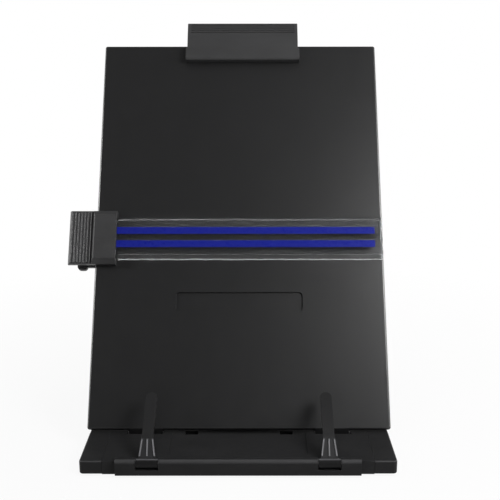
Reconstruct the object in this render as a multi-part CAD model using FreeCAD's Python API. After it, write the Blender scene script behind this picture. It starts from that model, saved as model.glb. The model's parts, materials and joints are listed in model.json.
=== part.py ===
"""Copy holder with a line guide: a sheet-steel easel board on a moulded base.

Frame: +X to the reader's right, +Y to the back, +Z up, millimetres. The origin is the middle of the
underside of the front grip strip, on the desk. The board and what it carries are drawn in board
coordinates (x across, y up along the board, z out of its front) and then leaned back about the
board's hinge axis. The leg is drawn along its own length in the same way.
"""

import FreeCAD, Part
import math
import os

V = FreeCAD.Vector
X_AXIS = V(1, 0, 0)
Y_AXIS = V(0, 1, 0)
Z_AXIS = V(0, 0, 1)

# Lean of the board from the desk, at rest and in each notch of the rails
BOARD_LEAN = 60.0
NOTCH_LEANS = (75.0, 70.0, 65.0, 60.0, 55.0, 50.0, 45.0)

# Clearances
RUNNING_FIT = 0.05       # between a pin and the bore that turns on it, all round
MOVING_GAP = 0.3         # between faces that slide or swing past each other
SEAM = 0.15              # between two mouldings that meet
TOUCH = 1e-3             # under this, an edge counts as lying on a face

# Board
BOARD_W = 240.0
BOARD_H = 335.8
SHEET = 0.8
FLANGE = 5.0             # depth of the folded edges, front face included
BOARD_CORNER = 1.8
BOARD_ROLL = 1.6         # outside radius of the folded edges
HINGE_TO_BACK = 8.0      # from the hinge axis to the back of the sheet
HINGE_TO_EDGE = 2.7      # from the hinge axis up to the board's bottom edge
RECESS_W = 104.0
RECESS_H = 16.3
RECESS_DEPTH = 1.5
RECESS_CORNER = 3.0
RECESS_S = 102.8         # middle of the pressed rectangle above the bottom edge
TAB_DROP = 2.0           # how far a tab reaches below the hinge axis's level
TAB_SET = 3.8            # how far a tab's end stands behind the board's face
TAB_SHY = 1.6            # a tab's outer ear from its slot's end, where the pin shows
EAR = 1.2                # thickness of a tab's ear
EAR_R = 3.5

# Base ledge
CAP_MARGIN = 19.0        # the ledge's end cap seams inside the board's edges
CAP_W = 17.0
CAP_CORNER = 3.0
CAP_EDGE = 1.4           # radius of an end cap's upper edges
CAP_UNDER_EDGE = 1.0
LEDGE_TOP = 12.0
REAR_STEP = 1.5          # how much lower the ledge is behind the board
FOOT_H = 1.5
WALL = 2.5
FRONT_Y = -8.0           # front face of the ledge and its end caps
LEDGE_DEPTH = 46.6       # from the front face to the board's bottom edge
LEDGE_TAIL = 15.0        # from the hinge axis back to the ledge's rear face
CAP_TAIL = 4.0           # from the hinge axis back to the end caps' rear face
STEP_BACK = 5.7          # the step stands this far in front of the hinge axis
HINGE_Z = 8.0
PIN_R = 2.0
SLOT_W = 28.5            # across the board, for each of its two tabs
SLOT_MARGIN = 12.5       # from a slot's outer end to the end cap's seam
SLOT_FORE = 8.4
SLOT_AFT = 9.0
WELL_WALL = 1.5          # round the wells under the slots and the small square holes
HOLE_X = 37.5            # middle of a small square hole
HOLE_W = 10.0
HOLE_FORE = 7.6
HOLE_Y = 7.0
HOLE_DEEP = 6.0
LEDGE_PANEL_HALF = 52.5
LEDGE_PANEL_DEEP = 0.9
LEDGE_PANEL_FRONT = 12.0  # from the front face to the panel's front edge
LEDGE_RIB = 2.0
LEDGE_RIB_X = 30.0

# Front lip
LIP_MARGIN = 10.0        # from the lip's ends to the end caps' seams
LIP_PROUD = 3.5          # ahead of the ledge's front face
LIP_T = 6.4
LIP_TOP = 14.2
LIP_ROUND = 3.6
LIP_EDGE = 1.4           # radius of the lip's other long edges
NOTCH_W = 17.0
NOTCH_FLOOR = 6.2
NOTCH_BACK = 4.4         # how far a notch reaches behind the ledge's front face

# Page fingers
FINGER_MARGIN = 23.5     # from a finger's middle to the lip's end
FINGER_ROOT_W = 13.4
FINGER_BEND_W = 8.5
FINGER_TIP_W = 8.7
FINGER_T = 2.6
FINGER_PIN_Z = 10.2
FINGER_PIN_BACK = 0.3    # finger pin behind the ledge's front face
FINGER_PIN_R = 1.2
FINGER_BARREL_R = 3.6
FINGER_SIDE = 0.3        # between a finger's barrel and its notch's walls
FINGER_BEND = (9.5, 15.7)   # bend, back and up from the finger pin
FINGER_TIP = (45.0, 36.0)   # tip, back and up from the finger pin
FINGER_RIB_W = 1.0
FINGER_RIB_H = 0.9
FINGER_RIB_SPAN = (0.28, 0.97)  # where a rib starts and ends between the pin and the bend

# Rear frame
FRAME_IN = 11.0          # the rear frame's sides inside the end caps' seams
FRAME_RAIL_W = 6.0
FRAME_RAIL_TOP = 9.0
COMB_W = 5.7
COMB_TOP = 13.0
FRAME_MARGIN = 13.5      # frame behind the last notch
RIM_DEPTH = 9.0
FRAME_CORNER = 4.0
RIM_TOP = 4.2
NOTCH_GAP = 0.4          # a notch's radius over the foot rod's

# Support leg
LEG_TOP_HALF = 34.0
LEG_FOOT_HALF = 42.0
LEG_SHEET = 1.5
LEG_FLANGE = 3.0
LEG_KNUCKLE_R = 3.8
LEG_PIN_R = 2.0
FOOT_ROD_R = 1.8
FOOT_ROD_HALF = 46.0
FOOT_TUBE_R = 2.9
BRACKET_T = 1.2
BRACKET_R = 4.2

# Line guide
GUIDE_S = 156.7          # middle of the guide above the board's bottom edge
GUIDE_JAW_H = 46.0
GRIP_OUT = 22.0          # the grip's reach beyond the board's left edge
GRIP_W = 20.0
JAW_W = 19.7
JAW_DEEP = 9.6
GRIP_DEEP = 4.2
GUIDE_CHAMFER_U = 4.0
GUIDE_CHAMFER_N = 5.0
STRIP_H = 37.0
STRIP_DEEP = 5.8
STRIP_SLOPE = 3.5
STRIP_WALL = 1.4
LINE_W = 5.9
LINE_UP = 5.5
LINE_DOWN = -6.0
LINE_T = 0.25
GUIDE_PIN_R = 1.5
GUIDE_PIN_OUT = 6.0      # the clip's pin outside the board's edge
GUIDE_PIN_BEHIND = 3.2   # and behind the back of the sheet
REAR_JAW_T = 4.2
HANDLE_IN = 6.5          # the rear handle's end inside the grip's
HANDLE_W = 8.5
HANDLE_DOWN = 2.4        # the rear handle's reach below the grip
HANDLE_CORNER = 3.0
PAD_T = 1.0
PAD_IN = 1.0             # a pad's edges inside its toe's
TOE_IN = 3.0             # a toe's ends inside its rear jaw's
GRIP_EDGE = 1.4          # chamfer along the grip's outer end
GRIP_RISE = 1.0          # how far the step from the grip to the jaw leans
JAW_EDGE = 0.8
GRIP_RIBS = 7
GRIP_RIB_R = 0.7
GRIP_RIB_START = 2.2     # first rib from the grip's outer end
GRIP_RIB_MARGIN = 4.0    # both ends of the row of ribs together
GRIP_RIB_IN = 1.5        # a rib's ends inside the grip's

# Top clip
CLIP_X = 2.3
CLIP_W = 100.0
CLIP_SHOULDER = 1.2      # the jaw's upper part is this much narrower at each end
CLIP_DOWN = 16.7         # from the board's top edge to the jaw's lower lip
CLIP_UP = 20.5
CLIP_DEEP = 7.2
CLIP_PIN_UP = 6.5
CLIP_REAR_IN = 3.0       # the rear jaw's ends inside the front jaw's
CLIP_REAR_SHORT = 2.0    # the rear jaw's top below the front jaw's
CLIP_LIP_EDGE = 1.2      # chamfer along the jaw's lower lip
CLIP_BREAK_U = 22.0      # from the lip up to where the face starts to fall back
CLIP_BREAK_N = 0.6       # how far back the face has come there
CLIP_CREST_U = 1.5       # from the jaw's top down to its crest
CLIP_CREST_N = 2.6       # how far back the crest is
CLIP_TOP_N = 4.0         # how far back the jaw's top edge is
CLIP_RELIEF = 0.8        # room over the board above the lip
CLIP_RELIEF_U = (6.0, 8.0)
CLIP_GROOVES = 5
CLIP_GROOVE_PITCH = 2.0
CLIP_GROOVE_W = 0.9
CLIP_GROOVE_DOWN = 2.6   # first groove from the jaw's top
CLIP_GROOVE_DEEP = 0.7

# Small parts
GRIP_STRIP_HALF = 70.0
GRIP_STRIP_W = 8.0
HINGE_PIN_HOLD = 4.2     # a hinge pin's reach into the boss at each end
FINGER_PIN_HOLD = 4.0
FINGER_GAP = 4.0         # room for the spring in a finger's barrel
FINGER_SPRING_WIRE = 0.55
FINGER_SPRING_TURNS = 4
CLIP_SPRING_WIRE = 0.8
CLIP_SPRING_TURNS = 5
COIL_PITCH = 1.45        # from turn to turn of a spring, over its wire's thickness
SCREW_R = 1.3
SCREW_HEAD_R = 2.4
SCREW_HEAD_T = 1.2
SCREW_LENGTH = 9.0
SCREW_Z = 5.2
FOOT_R = 4.0
FOOT_POST_R = 4.7
FOOT_INSET = 4.0         # from an end cap's edges to its foot
REAR_FOOT_INSET = 1.0    # from the frame's rear face to a foot
FOOT_EDGE = 0.4          # radius of a foot's lower edge
LUG_R = 3.0              # round a clip's pin
LUG_T = 3.5
LUG_FAR = 7.5            # outer face of the guide's front lugs from the middle
CLIP_LUG_FAR = 11.5      # the same on the top clip
TOE_W = 10.0             # the rear jaws' pads bear on the board over this width
STRIP_PLAY = 0.1         # round the strip's end inside the jaw
GUIDE_RIVET_R = 1.4
GUIDE_RIVET_HEAD_R = 2.4
GUIDE_RIVET_HEAD_T = 0.9
GUIDE_RIVET_ALONG = 0.62  # across the jaw, from its step
GUIDE_RIVET_OFF = 8.0    # above and below the guide's middle
GUIDE_RIVET_COVER = 1.2  # jaw left over a rivet's end
LINE_START = 0.2         # a line's ends from the jaw and from the strip's right end
LINE_END = 6.5
STRIP_SHY = 1.0          # the strip's right end inside the board's edge
STRIP_IN = 4.0           # the strip's left end inside the jaw's step
CLIP_SHOULDER_U = 11.5
CLIP_GROOVE_IN = 4.0

# Values that follow
BACK_N = HINGE_TO_BACK
FRONT_N = BACK_N + SHEET
FLANGE_N = FRONT_N - FLANGE
EDGE_U = HINGE_TO_EDGE
TOP_U = EDGE_U + BOARD_H
HALF_W = BOARD_W / 2
LEAN = math.radians(BOARD_LEAN)
EDGE_BACK = FRONT_N * math.sin(LEAN) - EDGE_U * math.cos(LEAN)
HINGE_Y = FRONT_Y + LEDGE_DEPTH + EDGE_BACK
LEG_L = EDGE_U + RECESS_S
REAR_TOP = LEDGE_TOP - REAR_STEP
LEDGE_REAR = HINGE_Y + LEDGE_TAIL
LEDGE_HALF = HALF_W - CAP_MARGIN
SLOT_OUT = LEDGE_HALF - SLOT_MARGIN
SLOT_IN = SLOT_OUT - SLOT_W
LIP_HALF = LEDGE_HALF - LIP_MARGIN
FINGER_X = LIP_HALF - FINGER_MARGIN
FRAME_HALF = LEDGE_HALF - FRAME_IN
STEP_Y = HINGE_Y - STEP_BACK
LIP_BACK = FRONT_Y - LIP_PROUD + LIP_T
FINGER_PIN_Y = FRONT_Y + FINGER_PIN_BACK
COMB_IN = FOOT_ROD_HALF + MOVING_GAP
COMB_OUT = COMB_IN + COMB_W
LAST_NOTCH_Y = HINGE_Y + 2 * LEG_L * math.cos(math.radians(min(NOTCH_LEANS)))
FRAME_REAR = LAST_NOTCH_Y + FRAME_MARGIN
GUIDE_U = EDGE_U + GUIDE_S
GUIDE_PIN_X = -HALF_W - GUIDE_PIN_OUT
GUIDE_PIN_N = BACK_N - GUIDE_PIN_BEHIND
GRIP_X = -HALF_W - GRIP_OUT
STEP_X = GRIP_X + GRIP_W
JAW_X = STEP_X + JAW_W
REAR_JAW_N = FLANGE_N - 2 * MOVING_GAP
JAW_N = FRONT_N + MOVING_GAP
CLIP_PIN_U = TOP_U + CLIP_PIN_UP
CLIP_PIN_N = GUIDE_PIN_N
STRIP_LEFT = STEP_X + STRIP_IN
STRIP_RIGHT = HALF_W - STRIP_SHY
SCREW_X = [s * x for x in (COMB_IN + COMB_W / 2, FRAME_HALF - FRAME_RAIL_W / 2) for s in (-1, 1)]
CAP_FOOT_X = LEDGE_HALF + SEAM + FOOT_R + FOOT_INSET
CAP_FOOT_Y = FRONT_Y + FOOT_R + FOOT_INSET
REAR_FOOT_X = FRAME_HALF - FOOT_R


def box(x0, x1, y0, y1, z0, z1):
    """A block between two corners."""
    return Part.makeBox(x1 - x0, y1 - y0, z1 - z0, V(x0, y0, z0))


def rod_x(x0, x1, y, z, r):
    """A round bar along X."""
    return Part.makeCylinder(r, x1 - x0, V(x0, y, z), X_AXIS)


def rod_y(y0, y1, x, z, r):
    """A round bar along Y."""
    return Part.makeCylinder(r, y1 - y0, V(x, y0, z), Y_AXIS)


def rod_z(z0, z1, x, y, r):
    """A round bar along Z."""
    return Part.makeCylinder(r, z1 - z0, V(x, y, z0), Z_AXIS)


def prism(points, push):
    """A polygon of points pushed along a vector."""
    return Part.Face(Part.makePolygon(points + points[:1])).extrude(push)


def prism_x(outline, x0, x1):
    """An outline of (y, z) pairs between two x values."""
    return prism([V(x0, y, z) for y, z in outline], V(x1 - x0, 0, 0))


def prism_y(outline, y0, y1):
    """An outline of (x, z) pairs between two y values."""
    return prism([V(x, y0, z) for x, z in outline], V(0, y1 - y0, 0))


def prism_z(outline, z0, z1):
    """An outline of (x, y) pairs between two z values."""
    return prism([V(x, y, z0) for x, y in outline], V(0, 0, z1 - z0))


def soften(shape, radius, wanted):
    """Rounds the edges that a test picks."""
    edges = [e for e in shape.Edges if wanted(e)]
    return shape.makeFillet(radius, edges)


def runs_along(edge, axis):
    """Whether an edge is straight and parallel to an axis."""
    if edge.Curve.TypeId != "Part::GeomLine":
        return False
    return abs(edge.tangentAt(edge.FirstParameter).dot(axis)) > 0.999


def at_height(edge, z):
    """Whether an edge lies wholly at one z."""
    span = edge.BoundBox
    return abs(span.ZMin - z) < 1e-4 and abs(span.ZMax - z) < 1e-4


def rounded_slab(x0, x1, y0, y1, z0, z1, corner):
    """A block whose upright corners are rounded."""
    return soften(box(x0, x1, y0, y1, z0, z1), corner, lambda e: runs_along(e, Z_AXIS))


def lean(shape, degrees, y, z):
    """Turns a shape about X at the origin and moves it to its hinge."""
    turned = shape.copy()
    turned.rotate(V(0, 0, 0), X_AXIS, degrees)
    turned.translate(V(0, y, z))
    return turned


def on_board(shape):
    """Takes a shape from board coordinates to the object's frame."""
    return lean(shape, BOARD_LEAN, HINGE_Y, HINGE_Z)


def on_leg(shape):
    """Takes a shape drawn along the leg to the object's frame."""
    pivot_y = HINGE_Y + LEG_L * math.cos(LEAN)
    pivot_z = HINGE_Z + LEG_L * math.sin(LEAN)
    return lean(shape, -BOARD_LEAN, pivot_y, pivot_z)


def mirrored(shape):
    """The same shape on the other side of the middle."""
    return shape.mirror(V(0, 0, 0), X_AXIS)


def coil(start, axis, radius, wire, turns):
    """A round spring along an axis, made of quarter turns."""
    pitch = wire * COIL_PITCH
    along = V(*axis)
    side = V(0, 0, 1)
    up = along.cross(side)

    def point(t):
        angle = 2 * math.pi * t
        rim = side * (radius * math.cos(angle))
        return start + along * (pitch * t) + rim + up * (radius * math.sin(angle))

    arcs = []
    for quarter in range(int(turns * 4)):
        t = quarter / 4
        arcs.append(Part.Arc(point(t), point(t + 0.125), point(t + 0.25)).toShape())
    path = Part.Wire(arcs)
    tangent = arcs[0].tangentAt(arcs[0].FirstParameter)
    section = Part.Wire(Part.makeCircle(wire / 2, point(0), tangent))
    return path.makePipeShell([section], True, False)


def save(name, *solids):
    """Writes one node, after a look at its solids."""
    shape = solids[0] if len(solids) == 1 else Part.makeCompound(list(solids))
    loose = shape.Solids
    if not loose or not shape.isValid() or min(s.Volume for s in loose) <= 0:
        raise ValueError(name + " is not a sound solid")
    if len(loose) == 1:
        shape = loose[0]
    shape.exportStep("parts/" + name + ".step")
    print(name, len(loose), round(shape.Volume, 1))


def pan(x_half, y0, y1, z0, z1, corner, roll):
    """A shallow tray shape with a rolled front edge, used for the board inside and out."""
    slab = rounded_slab(-x_half, x_half, y0, y1, z0, z1, corner)
    return soften(slab, roll, lambda e: at_height(e, z1))


def board_panel():
    """The sheet with its folded edges, pressed rectangle, tabs and ears."""
    outer = pan(HALF_W, EDGE_U, TOP_U, FLANGE_N, FRONT_N, BOARD_CORNER, BOARD_ROLL)
    inner = pan(HALF_W - SHEET, EDGE_U + SHEET, TOP_U - SHEET, FLANGE_N - 1, BACK_N,
                BOARD_CORNER - SHEET, BOARD_ROLL - SHEET)
    sheet = outer.cut(inner)
    half, tall = RECESS_W / 2, RECESS_H / 2
    floor_n = FRONT_N - RECESS_DEPTH
    bulge = rounded_slab(-half - SHEET, half + SHEET, LEG_L - tall - SHEET, LEG_L + tall + SHEET,
                         floor_n - SHEET, BACK_N + SHEET / 2, RECESS_CORNER + SHEET)
    pocket = rounded_slab(-half, half, LEG_L - tall, LEG_L + tall, floor_n, FRONT_N + 1, RECESS_CORNER)
    sheet = sheet.fuse(bulge).cut(pocket)
    for side in (-1, 1):
        for part in board_tab():
            sheet = sheet.fuse(part if side > 0 else mirrored(part))
    return sheet.removeSplitter()


def board_tab():
    """One tab and its two ears, on the right side."""
    x0 = SLOT_IN + MOVING_GAP
    x1 = SLOT_OUT - TAB_SHY
    end_n = FRONT_N - TAB_SET
    outline = [(EDGE_U + BOARD_ROLL, FRONT_N), (EDGE_U + SHEET, FRONT_N), (-TAB_DROP, end_n),
               (-TAB_DROP, end_n - SHEET), (EDGE_U + SHEET, BACK_N), (EDGE_U + BOARD_ROLL, BACK_N)]
    plate = prism_x(outline, x0, x1)
    parts = [plate]
    for x in (x0, x1 - EAR):
        web = prism_x([(-TAB_DROP, end_n), (EDGE_U + SHEET, FRONT_N), (EDGE_U + 1, FLANGE_N),
                       (EAR_R, 0), (-EAR_R, 0)], x, x + EAR)
        ear = web.fuse(rod_x(x, x + EAR, 0, 0, EAR_R))
        parts.append(ear.cut(rod_x(x - 1, x + EAR + 1, 0, 0, PIN_R + RUNNING_FIT)))
    return parts


def leg_bracket():
    """The bracket welded behind the pressed rectangle, with two ears for the leg's pin."""
    seat_n = FRONT_N - RECESS_DEPTH - SHEET
    half = LEG_TOP_HALF + 2 * MOVING_GAP + MOVING_GAP + BRACKET_T
    plate = box(-half, half, LEG_L - BRACKET_R, LEG_L + BRACKET_R, seat_n - BRACKET_T, seat_n)
    for x in (-half, half - BRACKET_T):
        ear = box(x, x + BRACKET_T, LEG_L - BRACKET_R, LEG_L + BRACKET_R, 0, seat_n - BRACKET_T)
        plate = plate.fuse(ear).fuse(rod_x(x, x + BRACKET_T, LEG_L, 0, BRACKET_R))
    return plate.cut(rod_x(-half - 1, half + 1, LEG_L, 0, LEG_PIN_R)).removeSplitter()


def leg_hinge_pin():
    """The leg's pin with a flat head outside each ear."""
    half = LEG_TOP_HALF + 3 * MOVING_GAP + BRACKET_T
    pin = rod_x(-half, half, LEG_L, 0, LEG_PIN_R)
    for x in (-half - 1, half):
        pin = pin.fuse(rod_x(x, x + 1, LEG_L, 0, LEG_PIN_R * 1.6))
    return pin


def support_leg():
    """The folded sheet leg, with a knuckle at the top and a tube for the foot rod."""
    foot_half = LEG_FOOT_HALF
    top_half = LEG_TOP_HALF
    start, end = LEG_KNUCKLE_R - 1, LEG_L - FOOT_TUBE_R + 1
    plate = prism_z([(-top_half, start), (top_half, start), (foot_half, end), (-foot_half, end)],
                    -LEG_SHEET / 2, LEG_SHEET / 2)
    shape = plate
    flange_start = LEG_KNUCKLE_R + 3
    flange_end = LEG_L - FOOT_TUBE_R - 3
    slope = (foot_half - top_half) / (end - start)
    for side in (-1, 1):
        near = side * (top_half + slope * (flange_start - start))
        far = side * (top_half + slope * (flange_end - start))
        wing = prism_z([(near, flange_start), (far, flange_end), (far - side * LEG_SHEET, flange_end),
                        (near - side * LEG_SHEET, flange_start)], -LEG_FLANGE, LEG_SHEET / 2)
        shape = shape.fuse(wing)
    shape = shape.fuse(rod_x(-top_half, top_half, 0, 0, LEG_KNUCKLE_R))
    shape = shape.fuse(rod_x(-foot_half, foot_half, LEG_L, 0, FOOT_TUBE_R))
    bore = rod_x(-top_half - 1, top_half + 1, 0, 0, LEG_PIN_R + RUNNING_FIT)
    tube = rod_x(-foot_half - 1, foot_half + 1, LEG_L, 0, FOOT_ROD_R)
    return shape.cut(bore).cut(tube).removeSplitter()


def base_ledge():
    """The moulded ledge that pages stand on, open below."""
    z0 = FOOT_H
    side = LEDGE_HALF
    outline = [(FRONT_Y, z0), (FRONT_Y, LEDGE_TOP), (STEP_Y, LEDGE_TOP), (STEP_Y + REAR_STEP, REAR_TOP),
               (LEDGE_REAR, REAR_TOP), (LEDGE_REAR, z0)]
    body = prism_x(outline, -side, side)
    front = FRONT_Y + LIP_T - LIP_PROUD + SEAM
    hollow = [(front + WALL, z0 - 1), (front + WALL, LEDGE_TOP - WALL), (STEP_Y - WALL, LEDGE_TOP - WALL),
              (STEP_Y, REAR_TOP - WALL), (LEDGE_REAR - WALL, REAR_TOP - WALL), (LEDGE_REAR - WALL, z0 - 1)]
    body = body.cut(prism_x(hollow, -side + WALL, side - WALL))
    body = body.cut(box(-LIP_HALF - SEAM, LIP_HALF + SEAM, FRONT_Y - 1, front, z0 - 1, LEDGE_TOP + 1))
    grip_half = GRIP_STRIP_W / 2 + LEDGE_RIB
    body = body.fuse(box(-GRIP_STRIP_HALF - LEDGE_RIB, GRIP_STRIP_HALF + LEDGE_RIB,
                         front, grip_half, z0, z0 + WALL))
    for x in (-LEDGE_RIB_X, 0, LEDGE_RIB_X):
        body = body.fuse(box(x - LEDGE_RIB / 2, x + LEDGE_RIB / 2, front + 1, LEDGE_REAR - 1, z0 + 1,
                             REAR_TOP - 1))
    for sign in (-1, 1):
        for inner, outer in ((SLOT_IN - 2 * WALL, SLOT_IN), (SLOT_OUT, SLOT_OUT + 2 * WALL)):
            x0, x1 = sorted((sign * inner, sign * outer))
            boss = box(x0, x1, HINGE_Y - PIN_R - WALL, HINGE_Y + PIN_R + WALL, HINGE_Z - PIN_R - WALL / 2,
                       REAR_TOP - 1)
            body = body.fuse(boss)
        body = well(body, sorted((sign * SLOT_IN, sign * SLOT_OUT)),
                    (HINGE_Y - SLOT_FORE, HINGE_Y + SLOT_AFT), z0 + WELL_WALL)
        body = well(body, (sign * HOLE_X - HOLE_W / 2, sign * HOLE_X + HOLE_W / 2),
                    (HINGE_Y - HOLE_FORE, HINGE_Y - HOLE_FORE + HOLE_Y), REAR_TOP - HOLE_DEEP)
        notch = box(sign * FINGER_X - NOTCH_W / 2, sign * FINGER_X + NOTCH_W / 2, FRONT_Y - 1,
                    FRONT_Y + NOTCH_BACK, NOTCH_FLOOR, LEDGE_TOP + 1)
        body = body.cut(notch)
        body = body.cut(rod_x(min(sign * SLOT_IN, sign * SLOT_OUT) - HINGE_PIN_HOLD,
                              max(sign * SLOT_IN, sign * SLOT_OUT) + HINGE_PIN_HOLD,
                              HINGE_Y, HINGE_Z, PIN_R))
    panel = box(-LEDGE_PANEL_HALF, LEDGE_PANEL_HALF, FRONT_Y + LEDGE_PANEL_FRONT, STEP_Y + 2,
                LEDGE_TOP - LEDGE_PANEL_DEEP, LEDGE_TOP + 1)
    body = body.cut(panel)
    for x in SCREW_X:
        body = body.cut(rod_y(LEDGE_REAR - WALL - 1, LEDGE_REAR + 1, x, SCREW_Z, SCREW_R))
    return body.removeSplitter()


def well(body, span_x, span_y, floor):
    """Opens a hole in the ledge's top, with thin walls and a floor under it."""
    (x0, x1), (y0, y1) = span_x, span_y
    wall = WELL_WALL
    body = body.fuse(box(x0 - wall, x1 + wall, y0 - wall, y1 + wall, floor - wall, REAR_TOP - 1))
    return body.cut(box(x0, x1, y0, y1, floor, LEDGE_TOP + 1))


def end_cap():
    """The right end block of the ledge, hollow below, with a post for its foot."""
    x0, x1 = LEDGE_HALF + SEAM, LEDGE_HALF + CAP_W
    y0, y1 = FRONT_Y, HINGE_Y + CAP_TAIL
    block = box(x0, x1, y0, y1, FOOT_H, LEDGE_TOP)
    block = soften(block, CAP_CORNER, lambda e: runs_along(e, Z_AXIS) and e.BoundBox.XMin > x1 - TOUCH)
    block = soften(block, CAP_EDGE, lambda e: at_height(e, LEDGE_TOP) and e.BoundBox.XMax > x0 + TOUCH)
    block = soften(block, CAP_UNDER_EDGE, lambda e: at_height(e, FOOT_H) and e.BoundBox.XMax > x0 + TOUCH)
    over = LEDGE_TOP + 1
    behind = y1 + 1
    step = [(STEP_Y, over), (STEP_Y, LEDGE_TOP), (STEP_Y + REAR_STEP, REAR_TOP), (behind, REAR_TOP),
            (behind, over)]
    block = block.cut(prism_x(step, x0 - 1, x1 + 1))
    under, rear = FOOT_H - 1, y1 - WALL
    hollow = [(y0 + WALL, under), (y0 + WALL, LEDGE_TOP - WALL), (STEP_Y - WALL, LEDGE_TOP - WALL),
              (STEP_Y, REAR_TOP - WALL), (rear, REAR_TOP - WALL), (rear, under)]
    block = block.cut(prism_x(hollow, x0 + WALL, x1 - WALL))
    return block.fuse(rod_z(FOOT_H, LEDGE_TOP - 1, CAP_FOOT_X, CAP_FOOT_Y, FOOT_POST_R)).removeSplitter()


def front_lip():
    """The rounded bar along the front, notched for the page fingers."""
    y0, y1 = FRONT_Y - LIP_PROUD, LIP_BACK
    bar = box(-LIP_HALF, LIP_HALF, y0, y1, FOOT_H, LIP_TOP)
    bar = soften(bar, LIP_ROUND, lambda e: runs_along(e, X_AXIS) and at_height(e, LIP_TOP)
                 and e.BoundBox.YMax < y0 + TOUCH)
    bar = soften(bar, LIP_EDGE, lambda e: runs_along(e, X_AXIS)
                 and ((at_height(e, LIP_TOP) and e.BoundBox.YMin > y1 - TOUCH)
                      or (at_height(e, FOOT_H) and e.BoundBox.YMax < y0 + TOUCH)))
    for sign in (-1, 1):
        notch = box(sign * FINGER_X - NOTCH_W / 2, sign * FINGER_X + NOTCH_W / 2, y0 - 1, y1 + 1,
                    NOTCH_FLOOR, LIP_TOP + 1)
        bar = bar.cut(notch)
        bar = bar.cut(rod_x(sign * FINGER_X - NOTCH_W / 2 - FINGER_PIN_HOLD,
                            sign * FINGER_X + NOTCH_W / 2 + FINGER_PIN_HOLD,
                            FINGER_PIN_Y, FINGER_PIN_Z, FINGER_PIN_R))
    return bar.removeSplitter()


def page_finger():
    """The right page finger: a barrel on its pin, a cranked blade and raised ribs."""
    def section(y, z, width, turn, thick):
        c, s = math.cos(turn), math.sin(turn)
        half, t = width / 2, thick / 2
        corners = [(-half, -t), (half, -t), (half, t), (-half, t)]
        points = [V(FINGER_X + x, y - s * w, z + c * w) for x, w in corners]
        return Part.makePolygon(points + points[:1])

    bend_y, bend_z = FINGER_PIN_Y + FINGER_BEND[0], FINGER_PIN_Z + FINGER_BEND[1]
    tip_y, tip_z = FINGER_PIN_Y + FINGER_TIP[0], FINGER_PIN_Z + FINGER_TIP[1]
    low = math.atan2(FINGER_BEND[1], FINGER_BEND[0])
    high = math.atan2(FINGER_TIP[1] - FINGER_BEND[1], FINGER_TIP[0] - FINGER_BEND[0])
    middle = (low + high) / 2
    root = section(FINGER_PIN_Y, FINGER_PIN_Z, FINGER_ROOT_W, low, FINGER_T)
    bend = section(bend_y, bend_z, FINGER_BEND_W, middle, FINGER_T)
    reach = FINGER_TIP_W / 2
    end_y, end_z = tip_y - reach * math.cos(high), tip_z - reach * math.sin(high)
    end = section(end_y, end_z, FINGER_TIP_W, high, FINGER_T)
    blade = Part.makeLoft([root, bend], True, True)
    blade = blade.fuse(Part.makeLoft([bend, end], True, True))
    normal = V(0, -math.sin(high), math.cos(high))
    tip = Part.makeCylinder(reach, FINGER_T, V(FINGER_X, end_y, end_z) - normal * (FINGER_T / 2), normal)
    blade = blade.fuse(tip)
    reach = NOTCH_W / 2 - FINGER_SIDE
    barrel = rod_x(FINGER_X - reach, FINGER_X + reach, FINGER_PIN_Y, FINGER_PIN_Z, FINGER_BARREL_R)
    blade = blade.fuse(barrel)
    for place in (-1, 0, 1):
        rib = finger_rib(place, low, bend_y, bend_z)
        blade = blade.fuse(rib)
    gap_0, gap_1 = FINGER_X - FINGER_GAP / 2, FINGER_X + FINGER_GAP / 2
    room = FINGER_PIN_R + FINGER_SPRING_WIRE + RUNNING_FIT + MOVING_GAP
    blade = blade.cut(rod_x(gap_0, gap_1, FINGER_PIN_Y, FINGER_PIN_Z, room))
    blade = blade.cut(box(gap_0, gap_1, FINGER_PIN_Y, FINGER_PIN_Y + FINGER_BARREL_R + 1,
                          FINGER_PIN_Z - FINGER_BARREL_R - 1, FINGER_PIN_Z))
    blade = blade.cut(rod_x(FINGER_X - FINGER_ROOT_W, FINGER_X + FINGER_ROOT_W, FINGER_PIN_Y, FINGER_PIN_Z,
                            FINGER_PIN_R + RUNNING_FIT))
    return blade.removeSplitter()


def finger_rib(place, low, bend_y, bend_z):
    """One raised rib on the front of a finger's lower blade: at an edge or on the middle."""
    sin, cos = math.sin(low), math.cos(low)
    wires = []
    for share in FINGER_RIB_SPAN:
        y = FINGER_PIN_Y + (bend_y - FINGER_PIN_Y) * share
        z = FINGER_PIN_Z + (bend_z - FINGER_PIN_Z) * share
        width = FINGER_ROOT_W + (FINGER_BEND_W - FINGER_ROOT_W) * share
        x = FINGER_X + place * (width - FINGER_RIB_W) / 2
        half, crest = FINGER_RIB_W / 2, FINGER_T / 2 + FINGER_RIB_H
        corners = [(-half, 0), (half, 0), (half, crest), (-half, crest)]
        points = [V(x + a, y - sin * w, z + cos * w) for a, w in corners]
        wires.append(Part.makePolygon(points + points[:1]))
    return Part.makeLoft(wires, True, True)


def finger_spring():
    """The torsion spring round a finger's pin, in the gap in its barrel."""
    wire = FINGER_SPRING_WIRE
    turns = FINGER_SPRING_TURNS
    start = V(FINGER_X - wire * COIL_PITCH * turns / 2, FINGER_PIN_Y, FINGER_PIN_Z)
    return coil(start, (1, 0, 0), FINGER_PIN_R + wire / 2 + RUNNING_FIT, wire, turns)


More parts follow.
